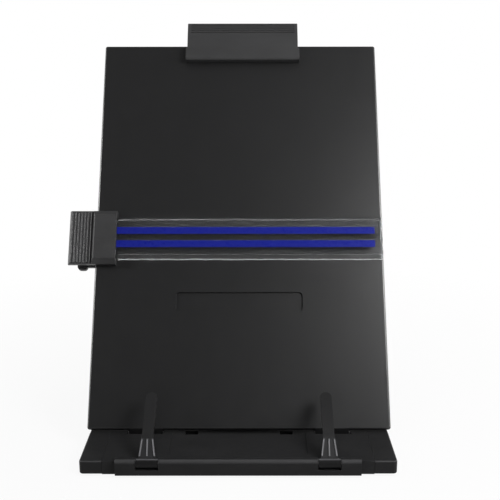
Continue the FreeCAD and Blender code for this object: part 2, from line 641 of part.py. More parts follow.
def rear_frame():
    """The low frame behind the ledge: cross member, side rails and a rear rim."""
    y0, y1 = LEDGE_REAR + SEAM, FRAME_REAR
    frame = box(-FRAME_HALF, FRAME_HALF, y0, y0 + WALL, FOOT_H, FRAME_RAIL_TOP)
    frame = frame.fuse(box(-FRAME_HALF, FRAME_HALF, y1 - RIM_DEPTH, y1, FOOT_H, RIM_TOP))
    for sign in (-1, 1):
        x0, x1 = sorted((sign * (FRAME_HALF - FRAME_RAIL_W), sign * FRAME_HALF))
        frame = frame.fuse(box(x0, x1, y0, y1, FOOT_H, FRAME_RAIL_TOP))
        x0, x1 = sorted((sign * COMB_IN, sign * FRAME_HALF))
        frame = frame.fuse(box(x0, x1, y1 - RIM_DEPTH, y1, FOOT_H, FRAME_RAIL_TOP))
    frame = soften(frame.removeSplitter(), FRAME_CORNER, lambda e: runs_along(e, Z_AXIS)
                   and e.BoundBox.YMin > y1 - TOUCH and abs(e.BoundBox.XMin) > FRAME_HALF - TOUCH)
    for x in SCREW_X:
        frame = frame.cut(rod_y(y0 - 1, LEDGE_REAR - WALL + SCREW_LENGTH, x, SCREW_Z, SCREW_R))
    return frame.removeSplitter()


def notch_rail():
    """The right notched rail, one notch for each lean of the board."""
    y0, y1 = LEDGE_REAR + WALL + 2 * SEAM, FRAME_REAR - RIM_DEPTH - SEAM
    rail = box(COMB_IN, COMB_OUT, y0, y1, FOOT_H, COMB_TOP)
    radius = FOOT_ROD_R + NOTCH_GAP
    for degrees in NOTCH_LEANS:
        y = HINGE_Y + 2 * LEG_L * math.cos(math.radians(degrees))
        rail = rail.cut(rod_x(COMB_IN - 1, COMB_OUT + 1, y, HINGE_Z, radius))
        rail = rail.cut(box(COMB_IN - 1, COMB_OUT + 1, y - radius, y + radius, HINGE_Z, COMB_TOP + 1))
    rail = rail.cut(rod_y(y0 - 1, LEDGE_REAR - WALL + SCREW_LENGTH, COMB_IN + COMB_W / 2, SCREW_Z, SCREW_R))
    return rail.removeSplitter()


def base_screws():
    """Screws from inside the ledge's rear wall into the rear frame's rails."""
    screws = []
    for x in SCREW_X:
        seat = LEDGE_REAR - WALL
        head = rod_y(seat - SCREW_HEAD_T, seat, x, SCREW_Z, SCREW_HEAD_R)
        screws.append(head.fuse(rod_y(seat, seat + SCREW_LENGTH, x, SCREW_Z, SCREW_R)))
    return screws


def feet():
    """Four round rubber feet."""
    spots = [(s * CAP_FOOT_X, CAP_FOOT_Y) for s in (-1, 1)]
    spots += [(s * REAR_FOOT_X, FRAME_REAR - FOOT_R - REAR_FOOT_INSET) for s in (-1, 1)]
    made = []
    for x, y in spots:
        foot = rod_z(0, FOOT_H, x, y, FOOT_R)
        made.append(soften(foot, FOOT_EDGE, lambda e: at_height(e, 0)))
    return made


def guide_profile(inset):
    """The strip's section, as (y, z) pairs in board coordinates, drawn in by an inset."""
    base = JAW_N
    top = JAW_N + STRIP_DEEP - inset
    slant = STRIP_SLOPE * (STRIP_DEEP - inset) / STRIP_DEEP
    half = STRIP_H / 2 - inset
    low = base if inset == 0 else base - 1
    start = half if inset == 0 else half + STRIP_SLOPE / STRIP_DEEP
    return [(GUIDE_U - start, low), (GUIDE_U - half + slant, top), (GUIDE_U + half - slant, top),
            (GUIDE_U + start, low)]


def guide_strip():
    """The clear channel across the page, closed at its right end, with grooves for its lines."""
    x0, x1 = STRIP_LEFT, STRIP_RIGHT
    strip = prism_x(guide_profile(0), x0, x1)
    strip = strip.cut(prism_x(guide_profile(STRIP_WALL), x0 - 1, x1 - STRIP_WALL))
    top = JAW_N + STRIP_DEEP
    for middle in (LINE_UP, LINE_DOWN):
        strip = strip.cut(line_bar(middle, top - LINE_T, top + 1))
    for x, u in guide_rivet_spots():
        strip = strip.cut(rod_z(JAW_N, top + 1, x, u, GUIDE_RIVET_R))
    return strip


def lug_spans(start):
    """The two spans of a pair of lugs that begin at a distance from the middle."""
    return [(-start - LUG_T, -start), (start, start + LUG_T)]


def line_bar(middle, n0, n1):
    """The space of one printed line along the strip."""
    u = GUIDE_U + middle
    return box(JAW_X + LINE_START, STRIP_RIGHT - LINE_END, u - LINE_W / 2, u + LINE_W / 2, n0, n1)


def guide_rivet_spots():
    """Where the strip is riveted to the front jaw."""
    x = STEP_X + JAW_W * GUIDE_RIVET_ALONG
    return [(x, GUIDE_U - GUIDE_RIVET_OFF), (x, GUIDE_U + GUIDE_RIVET_OFF)]


def guide_rivets():
    """Two rivets that hold the strip up inside the front jaw."""
    under = JAW_N + STRIP_DEEP - STRIP_WALL
    made = []
    for x, u in guide_rivet_spots():
        head = rod_z(under - GUIDE_RIVET_HEAD_T, under, x, u, GUIDE_RIVET_HEAD_R)
        made.append(head.fuse(rod_z(under, FRONT_N + JAW_DEEP - GUIDE_RIVET_COVER, x, u, GUIDE_RIVET_R)))
    return made


def guide_front_jaw():
    """The front jaw: a ribbed grip, a deeper smooth part over the strip and two hinge lugs."""
    u0, u1 = GUIDE_U - GUIDE_JAW_H / 2, GUIDE_U + GUIDE_JAW_H / 2
    top = FRONT_N + JAW_DEEP
    grip_top = FRONT_N + GRIP_DEEP
    step = STEP_X + GRIP_RISE
    outline = [(GRIP_X, JAW_N), (GRIP_X, grip_top - GRIP_EDGE), (GRIP_X + GRIP_EDGE, grip_top),
               (STEP_X, grip_top), (step, top - JAW_EDGE), (step + JAW_EDGE, top),
               (JAW_X, top), (JAW_X, JAW_N)]
    jaw = prism_y(outline, u0, u1)
    dn, du = GUIDE_CHAMFER_N, GUIDE_CHAMFER_U
    for edge, inward in ((u0, 1), (u1, -1)):
        corner = [(edge - inward, top + 1), (edge - inward, top - dn), (edge, top - dn),
                  (edge + inward * du, top), (edge + inward * du, top + 1)]
        jaw = jaw.cut(prism_x(corner, GRIP_X - 1, JAW_X + 1))
    for i in range(GRIP_RIBS):
        x = GRIP_X + GRIP_RIB_START + i * (GRIP_W - GRIP_RIB_MARGIN) / (GRIP_RIBS - 1)
        rib = rod_y(u0 + GRIP_RIB_IN, u1 - GRIP_RIB_IN, x, grip_top, GRIP_RIB_R)
        jaw = jaw.fuse(rib)
    play = STRIP_PLAY
    room = [(y + (play if y > GUIDE_U else -play), z + (play if z > JAW_N else 0))
            for y, z in guide_profile(0)]
    room = [(room[0][0], JAW_N - 1)] + room + [(room[-1][0], JAW_N - 1)]
    jaw = jaw.cut(prism_x(room, STRIP_LEFT - play, JAW_X + 1))
    for low, high in lug_spans(LUG_FAR - LUG_T):
        lug = box(GUIDE_PIN_X - LUG_R, GUIDE_PIN_X + LUG_R, GUIDE_U + low, GUIDE_U + high,
                  GUIDE_PIN_N, JAW_N + 1)
        lug = lug.fuse(rod_y(GUIDE_U + low, GUIDE_U + high, GUIDE_PIN_X, GUIDE_PIN_N, LUG_R))
        jaw = jaw.fuse(lug)
    jaw = jaw.cut(rod_y(u0 - 1, u1 + 1, GUIDE_PIN_X, GUIDE_PIN_N, GUIDE_PIN_R + RUNNING_FIT))
    for x, u in guide_rivet_spots():
        jaw = jaw.cut(rod_z(JAW_N, top - GUIDE_RIVET_COVER, x, u, GUIDE_RIVET_R))
    return jaw.removeSplitter()


def guide_rear_jaw():
    """The rear jaw: a plate behind the board with a toe, and the lugs that hold the pin."""
    u0, u1 = GUIDE_U - GUIDE_JAW_H / 2, GUIDE_U + GUIDE_JAW_H / 2
    n1 = REAR_JAW_N
    n0 = n1 - REAR_JAW_T
    start = GRIP_X + HANDLE_IN
    jaw = rounded_slab(start, JAW_X, u0, u1, n0, n1, HANDLE_CORNER)
    jaw = jaw.fuse(rounded_slab(start, start + HANDLE_W, u0 - HANDLE_DOWN, u1, n0, n1, HANDLE_CORNER))
    toe = box(JAW_X - TOE_W, JAW_X, u0 + TOE_IN, u1 - TOE_IN, n1 - 1, BACK_N - MOVING_GAP - PAD_T)
    jaw = jaw.fuse(toe)
    for low, high in lug_spans(LUG_FAR + MOVING_GAP):
        lug = box(GUIDE_PIN_X - LUG_R, GUIDE_PIN_X + LUG_R, GUIDE_U + low, GUIDE_U + high,
                  n1 - 1, GUIDE_PIN_N)
        lug = lug.fuse(rod_y(GUIDE_U + low, GUIDE_U + high, GUIDE_PIN_X, GUIDE_PIN_N, LUG_R))
        jaw = jaw.fuse(lug)
    room = rod_y(GUIDE_U - LUG_FAR - MOVING_GAP, GUIDE_U + LUG_FAR + MOVING_GAP, GUIDE_PIN_X, GUIDE_PIN_N,
                 LUG_R + MOVING_GAP)
    return jaw.cut(room).cut(rod_y(u0, u1, GUIDE_PIN_X, GUIDE_PIN_N, GUIDE_PIN_R)).removeSplitter()


def guide_pad():
    """The rubber pad on the rear jaw's toe, against the board's back."""
    n1 = BACK_N - MOVING_GAP
    half = GUIDE_JAW_H / 2 - TOE_IN - PAD_IN
    return box(JAW_X - TOE_W + PAD_IN, JAW_X - PAD_IN, GUIDE_U - half, GUIDE_U + half, n1 - PAD_T, n1)


def guide_pivot_pin():
    """The guide clip's pin, held in the rear jaw's lugs."""
    reach = LUG_FAR + MOVING_GAP + LUG_T
    return rod_y(GUIDE_U - reach, GUIDE_U + reach, GUIDE_PIN_X, GUIDE_PIN_N, GUIDE_PIN_R)


def guide_spring():
    """The guide clip's spring, wound round its pin."""
    wire = CLIP_SPRING_WIRE
    start = V(GUIDE_PIN_X, GUIDE_U - wire * COIL_PITCH * CLIP_SPRING_TURNS / 2, GUIDE_PIN_N)
    return coil(start, (0, 1, 0), GUIDE_PIN_R + wire / 2 + RUNNING_FIT, wire, CLIP_SPRING_TURNS)


def clip_front_jaw():
    """The top clip's front jaw: grooved grip above, smooth face below, lugs behind."""
    half = CLIP_W / 2
    u0, u1 = TOP_U - CLIP_DOWN, TOP_U + CLIP_UP
    face = FRONT_N + CLIP_DEEP
    break_u, crest_u = u0 + CLIP_BREAK_U, u1 - CLIP_CREST_U
    fall = CLIP_CREST_N - CLIP_BREAK_N
    relief = JAW_N + CLIP_RELIEF
    outline = [(u0, JAW_N), (u0, face - CLIP_LIP_EDGE), (u0 + CLIP_LIP_EDGE, face),
               (break_u, face - CLIP_BREAK_N), (crest_u, face - CLIP_CREST_N), (u1, face - CLIP_TOP_N),
               (u1, relief), (u0 + CLIP_RELIEF_U[1], relief), (u0 + CLIP_RELIEF_U[0], JAW_N)]
    jaw = prism_x(outline, CLIP_X - half, CLIP_X + half)
    shoulder = u0 + CLIP_SHOULDER_U
    for x0, x1 in ((CLIP_X - half - 1, CLIP_X - half + CLIP_SHOULDER),
                   (CLIP_X + half - CLIP_SHOULDER, CLIP_X + half + 1)):
        jaw = jaw.cut(box(x0, x1, shoulder, u1 + 1, JAW_N - 1, face + 1))
    for i in range(CLIP_GROOVES):
        u = u1 - CLIP_GROOVE_DOWN - i * CLIP_GROOVE_PITCH
        surface = face - CLIP_BREAK_N - fall * (u - break_u) / (crest_u - break_u)
        groove = box(CLIP_X - half + CLIP_GROOVE_IN, CLIP_X + half - CLIP_GROOVE_IN,
                     u - CLIP_GROOVE_W / 2, u + CLIP_GROOVE_W / 2, surface - CLIP_GROOVE_DEEP, face + 1)
        jaw = jaw.cut(groove)
    for low, high in lug_spans(CLIP_LUG_FAR - LUG_T):
        lug = box(CLIP_X + low, CLIP_X + high, CLIP_PIN_U - LUG_R, CLIP_PIN_U + LUG_R,
                  CLIP_PIN_N, JAW_N + 2)
        lug = lug.fuse(rod_x(CLIP_X + low, CLIP_X + high, CLIP_PIN_U, CLIP_PIN_N, LUG_R))
        jaw = jaw.fuse(lug)
    jaw = jaw.cut(rod_x(CLIP_X - half, CLIP_X + half, CLIP_PIN_U, CLIP_PIN_N, GUIDE_PIN_R + RUNNING_FIT))
    return jaw.removeSplitter()


def clip_rear_jaw():
    """The top clip's rear jaw: a plate behind the board with a toe, and lugs for the pin."""
    half = CLIP_W / 2 - CLIP_REAR_IN
    u0, u1 = TOP_U - CLIP_DOWN, TOP_U + CLIP_UP - CLIP_REAR_SHORT
    n1 = REAR_JAW_N
    jaw = rounded_slab(CLIP_X - half, CLIP_X + half, u0, u1, n1 - REAR_JAW_T, n1, HANDLE_CORNER)
    toe = box(CLIP_X - half + TOE_IN, CLIP_X + half - TOE_IN, u0, u0 + TOE_W,
              n1 - 1, BACK_N - MOVING_GAP - PAD_T)
    jaw = jaw.fuse(toe)
    for low, high in lug_spans(CLIP_LUG_FAR + MOVING_GAP):
        lug = box(CLIP_X + low, CLIP_X + high, CLIP_PIN_U - LUG_R, CLIP_PIN_U + LUG_R,
                  n1 - 1, CLIP_PIN_N)
        lug = lug.fuse(rod_x(CLIP_X + low, CLIP_X + high, CLIP_PIN_U, CLIP_PIN_N, LUG_R))
        jaw = jaw.fuse(lug)
    reach = CLIP_LUG_FAR + MOVING_GAP
    room = rod_x(CLIP_X - reach, CLIP_X + reach, CLIP_PIN_U, CLIP_PIN_N, LUG_R + MOVING_GAP)
    return jaw.cut(room).cut(rod_x(CLIP_X - half, CLIP_X + half, CLIP_PIN_U, CLIP_PIN_N,
                                   GUIDE_PIN_R)).removeSplitter()


def clip_pad():
    """The rubber pad on the top clip's toe."""
    n1 = BACK_N - MOVING_GAP
    half = CLIP_W / 2 - CLIP_REAR_IN - TOE_IN - PAD_IN
    u0 = TOP_U - CLIP_DOWN
    return box(CLIP_X - half, CLIP_X + half, u0 + PAD_IN, u0 + TOE_W - PAD_IN, n1 - PAD_T, n1)


def clip_pivot_pin():
    """The top clip's pin, held in the rear jaw's lugs."""
    reach = CLIP_LUG_FAR + MOVING_GAP + LUG_T
    return rod_x(CLIP_X - reach, CLIP_X + reach, CLIP_PIN_U, CLIP_PIN_N, GUIDE_PIN_R)


def clip_spring():
    """The top clip's spring, wound round its pin."""
    wire = CLIP_SPRING_WIRE
    start = V(CLIP_X - wire * COIL_PITCH * CLIP_SPRING_TURNS / 2, CLIP_PIN_U, CLIP_PIN_N)
    return coil(start, (1, 0, 0), GUIDE_PIN_R + wire / 2 + RUNNING_FIT, wire, CLIP_SPRING_TURNS)


def hinge_pin():
    """The right board hinge pin, across its slot."""
    return rod_x(SLOT_IN - HINGE_PIN_HOLD, SLOT_OUT + HINGE_PIN_HOLD, HINGE_Y, HINGE_Z, PIN_R)


def finger_pin():
    """The right page finger's pin, across its notch."""
    reach = NOTCH_W / 2 + FINGER_PIN_HOLD
    return rod_x(FINGER_X - reach, FINGER_X + reach, FINGER_PIN_Y, FINGER_PIN_Z, FINGER_PIN_R)


def front_grip_strip():
    """The rubber strip under the ledge's front rail; the object's origin is under its middle."""
    half = GRIP_STRIP_W / 2
    return box(-GRIP_STRIP_HALF, GRIP_STRIP_HALF, -half, half, 0, FOOT_H)


def main():
    """Builds and writes every piece."""
    os.makedirs("parts", exist_ok=True)
    save("base_ledge", base_ledge())
    save("rear_frame", rear_frame())
    save("front_lip", front_lip())
    save("base_screws", *base_screws())
    save("feet", *feet())
    save("front_grip_strip", front_grip_strip())
    pairs = {"end_cap": end_cap, "board_hinge_pin": hinge_pin, "finger_pin": finger_pin,
             "page_finger": page_finger, "finger_spring": finger_spring, "notch_rail": notch_rail}
    for name, make in pairs.items():
        right = make()
        save(name + "_right", right)
        save(name + "_left", mirrored(right))
    board_pieces = {"board_panel": board_panel, "leg_bracket": leg_bracket, "leg_hinge_pin": leg_hinge_pin,
                    "guide_rear_jaw": guide_rear_jaw, "guide_pad": guide_pad,
                    "guide_pivot_pin": guide_pivot_pin, "guide_spring": guide_spring,
                    "guide_front_jaw": guide_front_jaw, "guide_strip": guide_strip,
                    "clip_rear_jaw": clip_rear_jaw, "clip_pad": clip_pad, "clip_pivot_pin": clip_pivot_pin,
                    "clip_spring": clip_spring, "clip_front_jaw": clip_front_jaw}
    for name, make in board_pieces.items():
        save(name, on_board(make()))
    save("guide_rivets", *[on_board(s) for s in guide_rivets()])
    top = JAW_N + STRIP_DEEP
    save("guide_line_upper", on_board(line_bar(LINE_UP, top - LINE_T, top)))
    save("guide_line_lower", on_board(line_bar(LINE_DOWN, top - LINE_T, top)))
    save("support_leg", on_leg(support_leg()))
    save("leg_foot_rod", on_leg(rod_x(-FOOT_ROD_HALF, FOOT_ROD_HALF, LEG_L, 0, FOOT_ROD_R)))
    print("hinge y", round(HINGE_Y, 3), "frame rear", round(FRAME_REAR, 3))
    print("ledge rear", round(LEDGE_REAR, 3))


main()
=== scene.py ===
import json
import logging
import math
from dataclasses import dataclass
from enum import Enum
from typing import Iterable, Sequence

import bmesh
import bpy
from mathutils import Matrix, Vector

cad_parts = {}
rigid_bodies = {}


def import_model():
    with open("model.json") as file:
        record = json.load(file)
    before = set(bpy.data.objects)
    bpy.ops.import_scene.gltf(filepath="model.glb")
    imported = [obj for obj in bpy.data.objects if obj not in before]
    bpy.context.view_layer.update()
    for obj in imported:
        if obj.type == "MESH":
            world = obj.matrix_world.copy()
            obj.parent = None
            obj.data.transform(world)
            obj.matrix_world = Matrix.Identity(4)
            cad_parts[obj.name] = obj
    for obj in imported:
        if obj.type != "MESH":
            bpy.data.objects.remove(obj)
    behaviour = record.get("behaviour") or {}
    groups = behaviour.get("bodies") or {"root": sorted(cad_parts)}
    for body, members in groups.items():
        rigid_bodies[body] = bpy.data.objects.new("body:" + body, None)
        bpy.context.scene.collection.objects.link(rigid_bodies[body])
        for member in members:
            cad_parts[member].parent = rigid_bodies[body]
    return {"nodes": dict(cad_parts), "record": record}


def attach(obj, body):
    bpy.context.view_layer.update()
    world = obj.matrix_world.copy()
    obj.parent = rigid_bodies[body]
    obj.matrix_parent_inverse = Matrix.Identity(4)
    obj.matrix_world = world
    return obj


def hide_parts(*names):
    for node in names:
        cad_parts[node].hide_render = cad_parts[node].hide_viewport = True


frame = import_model()

LOG = logging.getLogger("copy_holder")
MM = 0.001
WELD_WITHIN = 0.002 * MM
FLAT_WITHIN = math.radians(0.8)
SHARP_OVER = math.radians(32.0)
FACE_WEIGHT = 60
Vec = tuple[float, float, float]
Colour = tuple[float, float, float]
Socket = bpy.types.NodeSocket
Paint = Colour | Socket


def joint(name: str) -> dict:
    """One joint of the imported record, by name."""
    return next(j for j in frame["record"]["behaviour"]["joints"] if j["name"] == name)


def joint_axis(name: str) -> Vector:
    """The direction of a joint's axis."""
    return Vector(joint(name)["axis"]).normalized()


def body_of_node(node: str) -> str:
    """The CAD body that holds a node."""
    bodies = frame["record"]["behaviour"]["bodies"]
    return next(body for body, nodes in bodies.items() if node in nodes)


# Materials


def toned(colour: Colour, share: float) -> Colour:
    """A colour made paler or darker by a factor."""
    return tuple(part * share for part in colour)


@dataclass(frozen=True)
class Cloud:
    """A cloudy pattern.

    Its fields are the size of one cloud in metres, how many finer layers it has and how strong
    they are, its scale along each axis if that isn't even, a seed that picks another pattern, and
    the two values between which a clamped range of it runs.
    """

    size: float
    detail: float = 3.0
    rough: float = 0.5
    stretch: Vec | None = None
    seed: float = 0.0
    low: float = 0.3
    high: float = 0.7


class Shader:
    """A material under construction, with short ways to add and join nodes."""

    def __init__(self, name: str) -> None:
        """Starts an empty material with one principled shader.

        Args:
            name: The material's name.
        """
        self.material = bpy.data.materials.new(name)
        self.material.use_nodes = True
        self.tree = self.material.node_tree
        self.tree.nodes.clear()
        self.output = self.tree.nodes.new("ShaderNodeOutputMaterial")
        self.surface = self.tree.nodes.new("ShaderNodeBsdfPrincipled")
        self.link(self.surface.outputs[0], self.output.inputs["Surface"])
        self.coords = self.tree.nodes.new("ShaderNodeTexCoord").outputs["Object"]

    def link(self, source: Socket, target: Socket) -> None:
        """Joins two sockets."""
        self.tree.links.new(source, target)

    def feed(self, name: str, value: Socket) -> None:
        """Joins a value to the principled shader's socket of a name."""
        self.link(value, self.surface.inputs[name])

    def set(self, **values: float) -> None:
        """Sets constants on the principled shader, an underscore standing for a space."""
        for name, value in values.items():
            self.surface.inputs[name.replace("_", " ")].default_value = value

    def stretched(self, stretch: Vec) -> Socket:
        """Scales the coordinates.

        Args:
            stretch: The scale along each axis.

        Returns:
            The scaled coordinates.
        """
        mapping = self.tree.nodes.new("ShaderNodeMapping")
        mapping.inputs["Scale"].default_value = stretch
        self.link(self.coords, mapping.inputs["Vector"])
        return mapping.outputs[0]

    def along(self, direction: Vec) -> Socket:
        """Measures the place along a direction.

        Args:
            direction: The direction, of length 1.

        Returns:
            The distance from the origin along it, in metres.
        """
        node = self.tree.nodes.new("ShaderNodeVectorMath")
        node.operation = "DOT_PRODUCT"
        node.inputs[1].default_value = direction
        self.link(self.coords, node.inputs[0])
        return node.outputs["Value"]

    def facing_up(self) -> Socket:
        """Measures how far the surface faces up.

        Returns:
            The height of its normal, from -1 to 1.
        """
        parts = self.tree.nodes.new("ShaderNodeSeparateXYZ")
        self.link(self.tree.nodes.new("ShaderNodeNewGeometry").outputs["Normal"], parts.inputs[0])
        return parts.outputs["Z"]

    def noise(self, cloud: Cloud) -> Socket:
        """Adds a cloudy pattern.

        Args:
            cloud: The pattern.

        Returns:
            Its value, from about 0 to 1.
        """
        node = self.tree.nodes.new("ShaderNodeTexNoise")
        node.noise_dimensions = "4D"
        node.inputs["W"].default_value = cloud.seed
        node.inputs["Scale"].default_value = 1.0 / cloud.size
        node.inputs["Detail"].default_value = cloud.detail
        node.inputs["Roughness"].default_value = cloud.rough
        coords = self.stretched(cloud.stretch) if cloud.stretch else self.coords
        self.link(coords, node.inputs["Vector"])
        return node.outputs[0]

    def clouded(self, cloud: Cloud, start: float = 0.0, end: float = 1.0) -> Socket:
        """A cloudy pattern's clamped range, taken to run from one value to another."""
        return self.ramp(self.noise(cloud), cloud.low, cloud.high, start, end)

    def grains(self, size: float, smoothness: float = 0.6) -> Socket:
        """Adds small pebbles.

        Args:
            size: The size of one pebble, in metres.
            smoothness: How soft the grooves between them are.

        Returns:
            The distance from each pebble's middle, in pebble sizes.
        """
        node = self.tree.nodes.new("ShaderNodeTexVoronoi")
        node.feature = "SMOOTH_F1"
        node.inputs["Scale"].default_value = 1.0 / size
        node.inputs["Smoothness"].default_value = smoothness
        self.link(self.coords, node.inputs["Vector"])
        return node.outputs["Distance"]

    def ramp(self, value: Socket, low: float, high: float, start: float = 0.0,
             end: float = 1.0) -> Socket:
        """Takes a value from one range to another, clamped.

        Args:
            value: The value.
            low: Where its range begins.
            high: Where its range ends.
            start: The result at low.
            end: The result at high.

        Returns:
            The result.
        """
        node = self.tree.nodes.new("ShaderNodeMapRange")
        node.inputs["From Min"].default_value = low
        node.inputs["From Max"].default_value = high
        node.inputs["To Min"].default_value = start
        node.inputs["To Max"].default_value = end
        self.link(value, node.inputs["Value"])
        return node.outputs[0]

    def mix(self, factor: Socket, first: Paint, second: Paint) -> Socket:
        """Mixes two colours.

        Args:
            factor: 0 for the first and 1 for the second.
            first: A colour, or another node's result.
            second: The same.

        Returns:
            The mixed colour.
        """
        node = self.tree.nodes.new("ShaderNodeMix")
        node.data_type = "RGBA"
        self.link(factor, node.inputs[0])
        for socket, paint in ((node.inputs[6], first), (node.inputs[7], second)):
            if isinstance(paint, tuple):
                socket.default_value = (*paint, 1.0)
            else:
                self.link(paint, socket)
        return node.outputs[2]

    def times(self, first: Socket, second: Socket) -> Socket:
        """Multiplies two values.

        Args:
            first: One value.
            second: The other.

        Returns:
            Their product.
        """
        node = self.tree.nodes.new("ShaderNodeMath")
        node.operation = "MULTIPLY"
        self.link(first, node.inputs[0])
        self.link(second, node.inputs[1])
        return node.outputs[0]

    def add(self, first: Socket, second: Socket, share: float) -> Socket:
        """Adds a share of one value to another.

        Args:
            first: The value that is taken whole.
            second: The value that is added.
            share: How much of the second is added.

        Returns:
            The sum.
        """
        node = self.tree.nodes.new("ShaderNodeMath")
        node.operation = "MULTIPLY_ADD"
        self.link(second, node.inputs[0])
        node.inputs[1].default_value = share
        self.link(first, node.inputs[2])
        return node.outputs[0]

    def bump(self, height: Socket, depth: float) -> None:
        """Raises the surface by a height.

        Args:
            height: The height, from 0 to 1.
            depth: What a height of 1 stands for, in metres.
        """
        node = self.tree.nodes.new("ShaderNodeBump")
        node.inputs["Strength"].default_value = 1.0
        node.inputs["Distance"].default_value = depth
        self.link(height, node.inputs["Height"])
        self.feed("Normal", node.outputs[0])


@dataclass(frozen=True)
class PowderCoat:
    """Baked powder coat on sheet steel: a fine orange peel over a dark colour."""

    name: str
    slot: str
    colour: Colour
    roughness: float
    specular: float
    lighter: float = 1.12
    lay: Cloud = Cloud(28 * MM, 4.0, 0.55)
    worn: Cloud = Cloud(9 * MM, 4.0, 0.6, seed=3.0)
    wear: float = 0.012
    peel: Cloud = Cloud(0.9 * MM, 2.0, 0.55, seed=5.0)
    peel_depth: float = 0.016 * MM
    speck: float = 0.35 * MM
    speck_share: float = 0.3

    def make(self) -> bpy.types.Material:
        """Builds the material.

        Returns:
            The material.
        """
        shader = Shader(self.name)
        lighter = toned(self.colour, self.lighter)
        shader.feed("Base Color", shader.mix(shader.clouded(self.lay), self.colour, lighter))
        shader.feed("Roughness", shader.clouded(self.worn, self.roughness - self.wear,
                                                self.roughness + self.wear))
        peel = shader.noise(self.peel)
        shader.bump(shader.add(peel, shader.grains(self.speck), self.speck_share), self.peel_depth)
        shader.set(Specular_IOR_Level=self.specular)
        return shader.material


@dataclass(frozen=True)
class Moulding:
    """Satin moulded plastic with a fine pebbled texture, and a painted highlight along its upper
    edges.
    """

    name: str
    slot: str
    colour: Colour
    roughness: float
    specular: float
    painted_edge_highlight: float = 1.0
    lighter: float = 1.3
    flow: Cloud = Cloud(16 * MM, 4.0, 0.6, (0.5, 1.0, 1.4), low=0.32)
    worn: Cloud = Cloud(5 * MM, 5.0, 0.65, seed=2.0, high=0.72)
    wear: float = 0.05
    grain: Cloud = Cloud(0.32 * MM, 3.0, 0.6, seed=7.0)
    grain_depth: float = 0.018 * MM
    pebble_share: float = 0.7
    highlight_starts: tuple[float, float] = (0.2, 0.6)
    highlight_ends: tuple[float, float] = (0.9, 0.98)

    def make(self) -> bpy.types.Material:
        """Builds the material; the painted highlight lies on edges that face up by more than a
        side and less than a top.

        Returns:
            The material.
        """
        shader = Shader(self.name)
        body = shader.mix(shader.clouded(self.flow), self.colour, toned(self.colour, self.lighter))
        # Painted highlight: edges that face partly up are mixed toward a paler copy of the colour,
        # standing in for the light they catch.
        if self.painted_edge_highlight > 1.0:
            facing = shader.facing_up()
            edge = shader.times(shader.ramp(facing, *self.highlight_starts),
                                shader.ramp(facing, *self.highlight_ends, 1.0, 0.0))
            body = shader.mix(edge, body, toned(self.colour, self.painted_edge_highlight))
        shader.feed("Base Color", body)
        shader.feed("Roughness", shader.clouded(self.worn, self.roughness - self.wear,
                                                self.roughness + self.wear))
        pebbles = shader.grains(self.grain.size)
        shader.bump(shader.add(shader.noise(self.grain), pebbles, self.pebble_share),
                    self.grain_depth)
        shader.set(Specular_IOR_Level=self.specular)
        return shader.material


@dataclass(frozen=True)
class SmokedPlastic:
    """Glossy smoked plastic of a page finger, with a painted sheen on its lower blade and painted
    highlights on that blade's ridges.
    """

    name: str
    slot: str
    colour: Colour
    blade_sheen_colour: Colour
    ridge_highlight_colour: Colour
    roughness: float
    blade_from: float = 13.9 * MM
    blade_to: float = 26.2 * MM
    change: float = 0.6 * MM
    lean: float = math.atan2(15.7, 9.5)
    blade_half: float = 1.3 * MM
    ridge_from: float = 0.45 * MM
    ridge_to: float = 0.65 * MM
    highlight_streak: Cloud = Cloud(3 * MM, stretch=(0.6, 0.3, 0.3))
    highlight_streak_least: float = 0.75
    worn: Cloud = Cloud(2.5 * MM, 4.0, 0.6, seed=4.0, low=0.35)
    polish: float = 0.05
    wear: float = 0.06
    ripple: Cloud = Cloud(1.6 * MM, 2.0, seed=6.0)
    ripple_depth: float = 0.006 * MM
    specular: tuple[float, float] = (0.08, 0.28)

    def make(self) -> bpy.types.Material:
        """Builds the material; a ridge is known by its distance in front of the lower blade.

        Returns:
            The material.
        """
        shader = Shader(self.name)
        height = shader.along((0.0, 0.0, 1.0))
        starts = (self.blade_from - self.change, self.blade_from + self.change)
        ends = (self.blade_to - self.change, self.blade_to + self.change)
        # Painted sheen: the lower blade, above the hinge and below the bend, gets a paler colour
        # for the light it catches.
        lower_blade = shader.times(shader.ramp(height, *starts), shader.ramp(height, *ends, 1.0, 0.0))
        normal = Vector((0.0, -math.sin(self.lean), math.cos(self.lean)))
        face = Vector(joint("finger_left_swing")["pos_m"]).dot(normal) + self.blade_half
        ridge = shader.ramp(shader.along(tuple(normal)), face + self.ridge_from,
                            face + self.ridge_to)
        # Painted highlight: the ridges on the lower blade are painted light grey, broken up by a
        # streaky pattern.
        ridge_highlight = shader.times(shader.times(lower_blade, ridge),
                              shader.clouded(self.highlight_streak, self.highlight_streak_least))
        body = shader.mix(lower_blade, self.colour, self.blade_sheen_colour)
        shader.feed("Base Color", shader.mix(ridge_highlight, body, self.ridge_highlight_colour))
        shader.feed("Roughness", shader.clouded(self.worn, self.roughness - self.polish,
                                                self.roughness + self.wear))
        shader.bump(shader.noise(self.ripple), self.ripple_depth)
        shader.feed("Specular IOR Level", shader.ramp(height, *starts, *self.specular))
        return shader.material


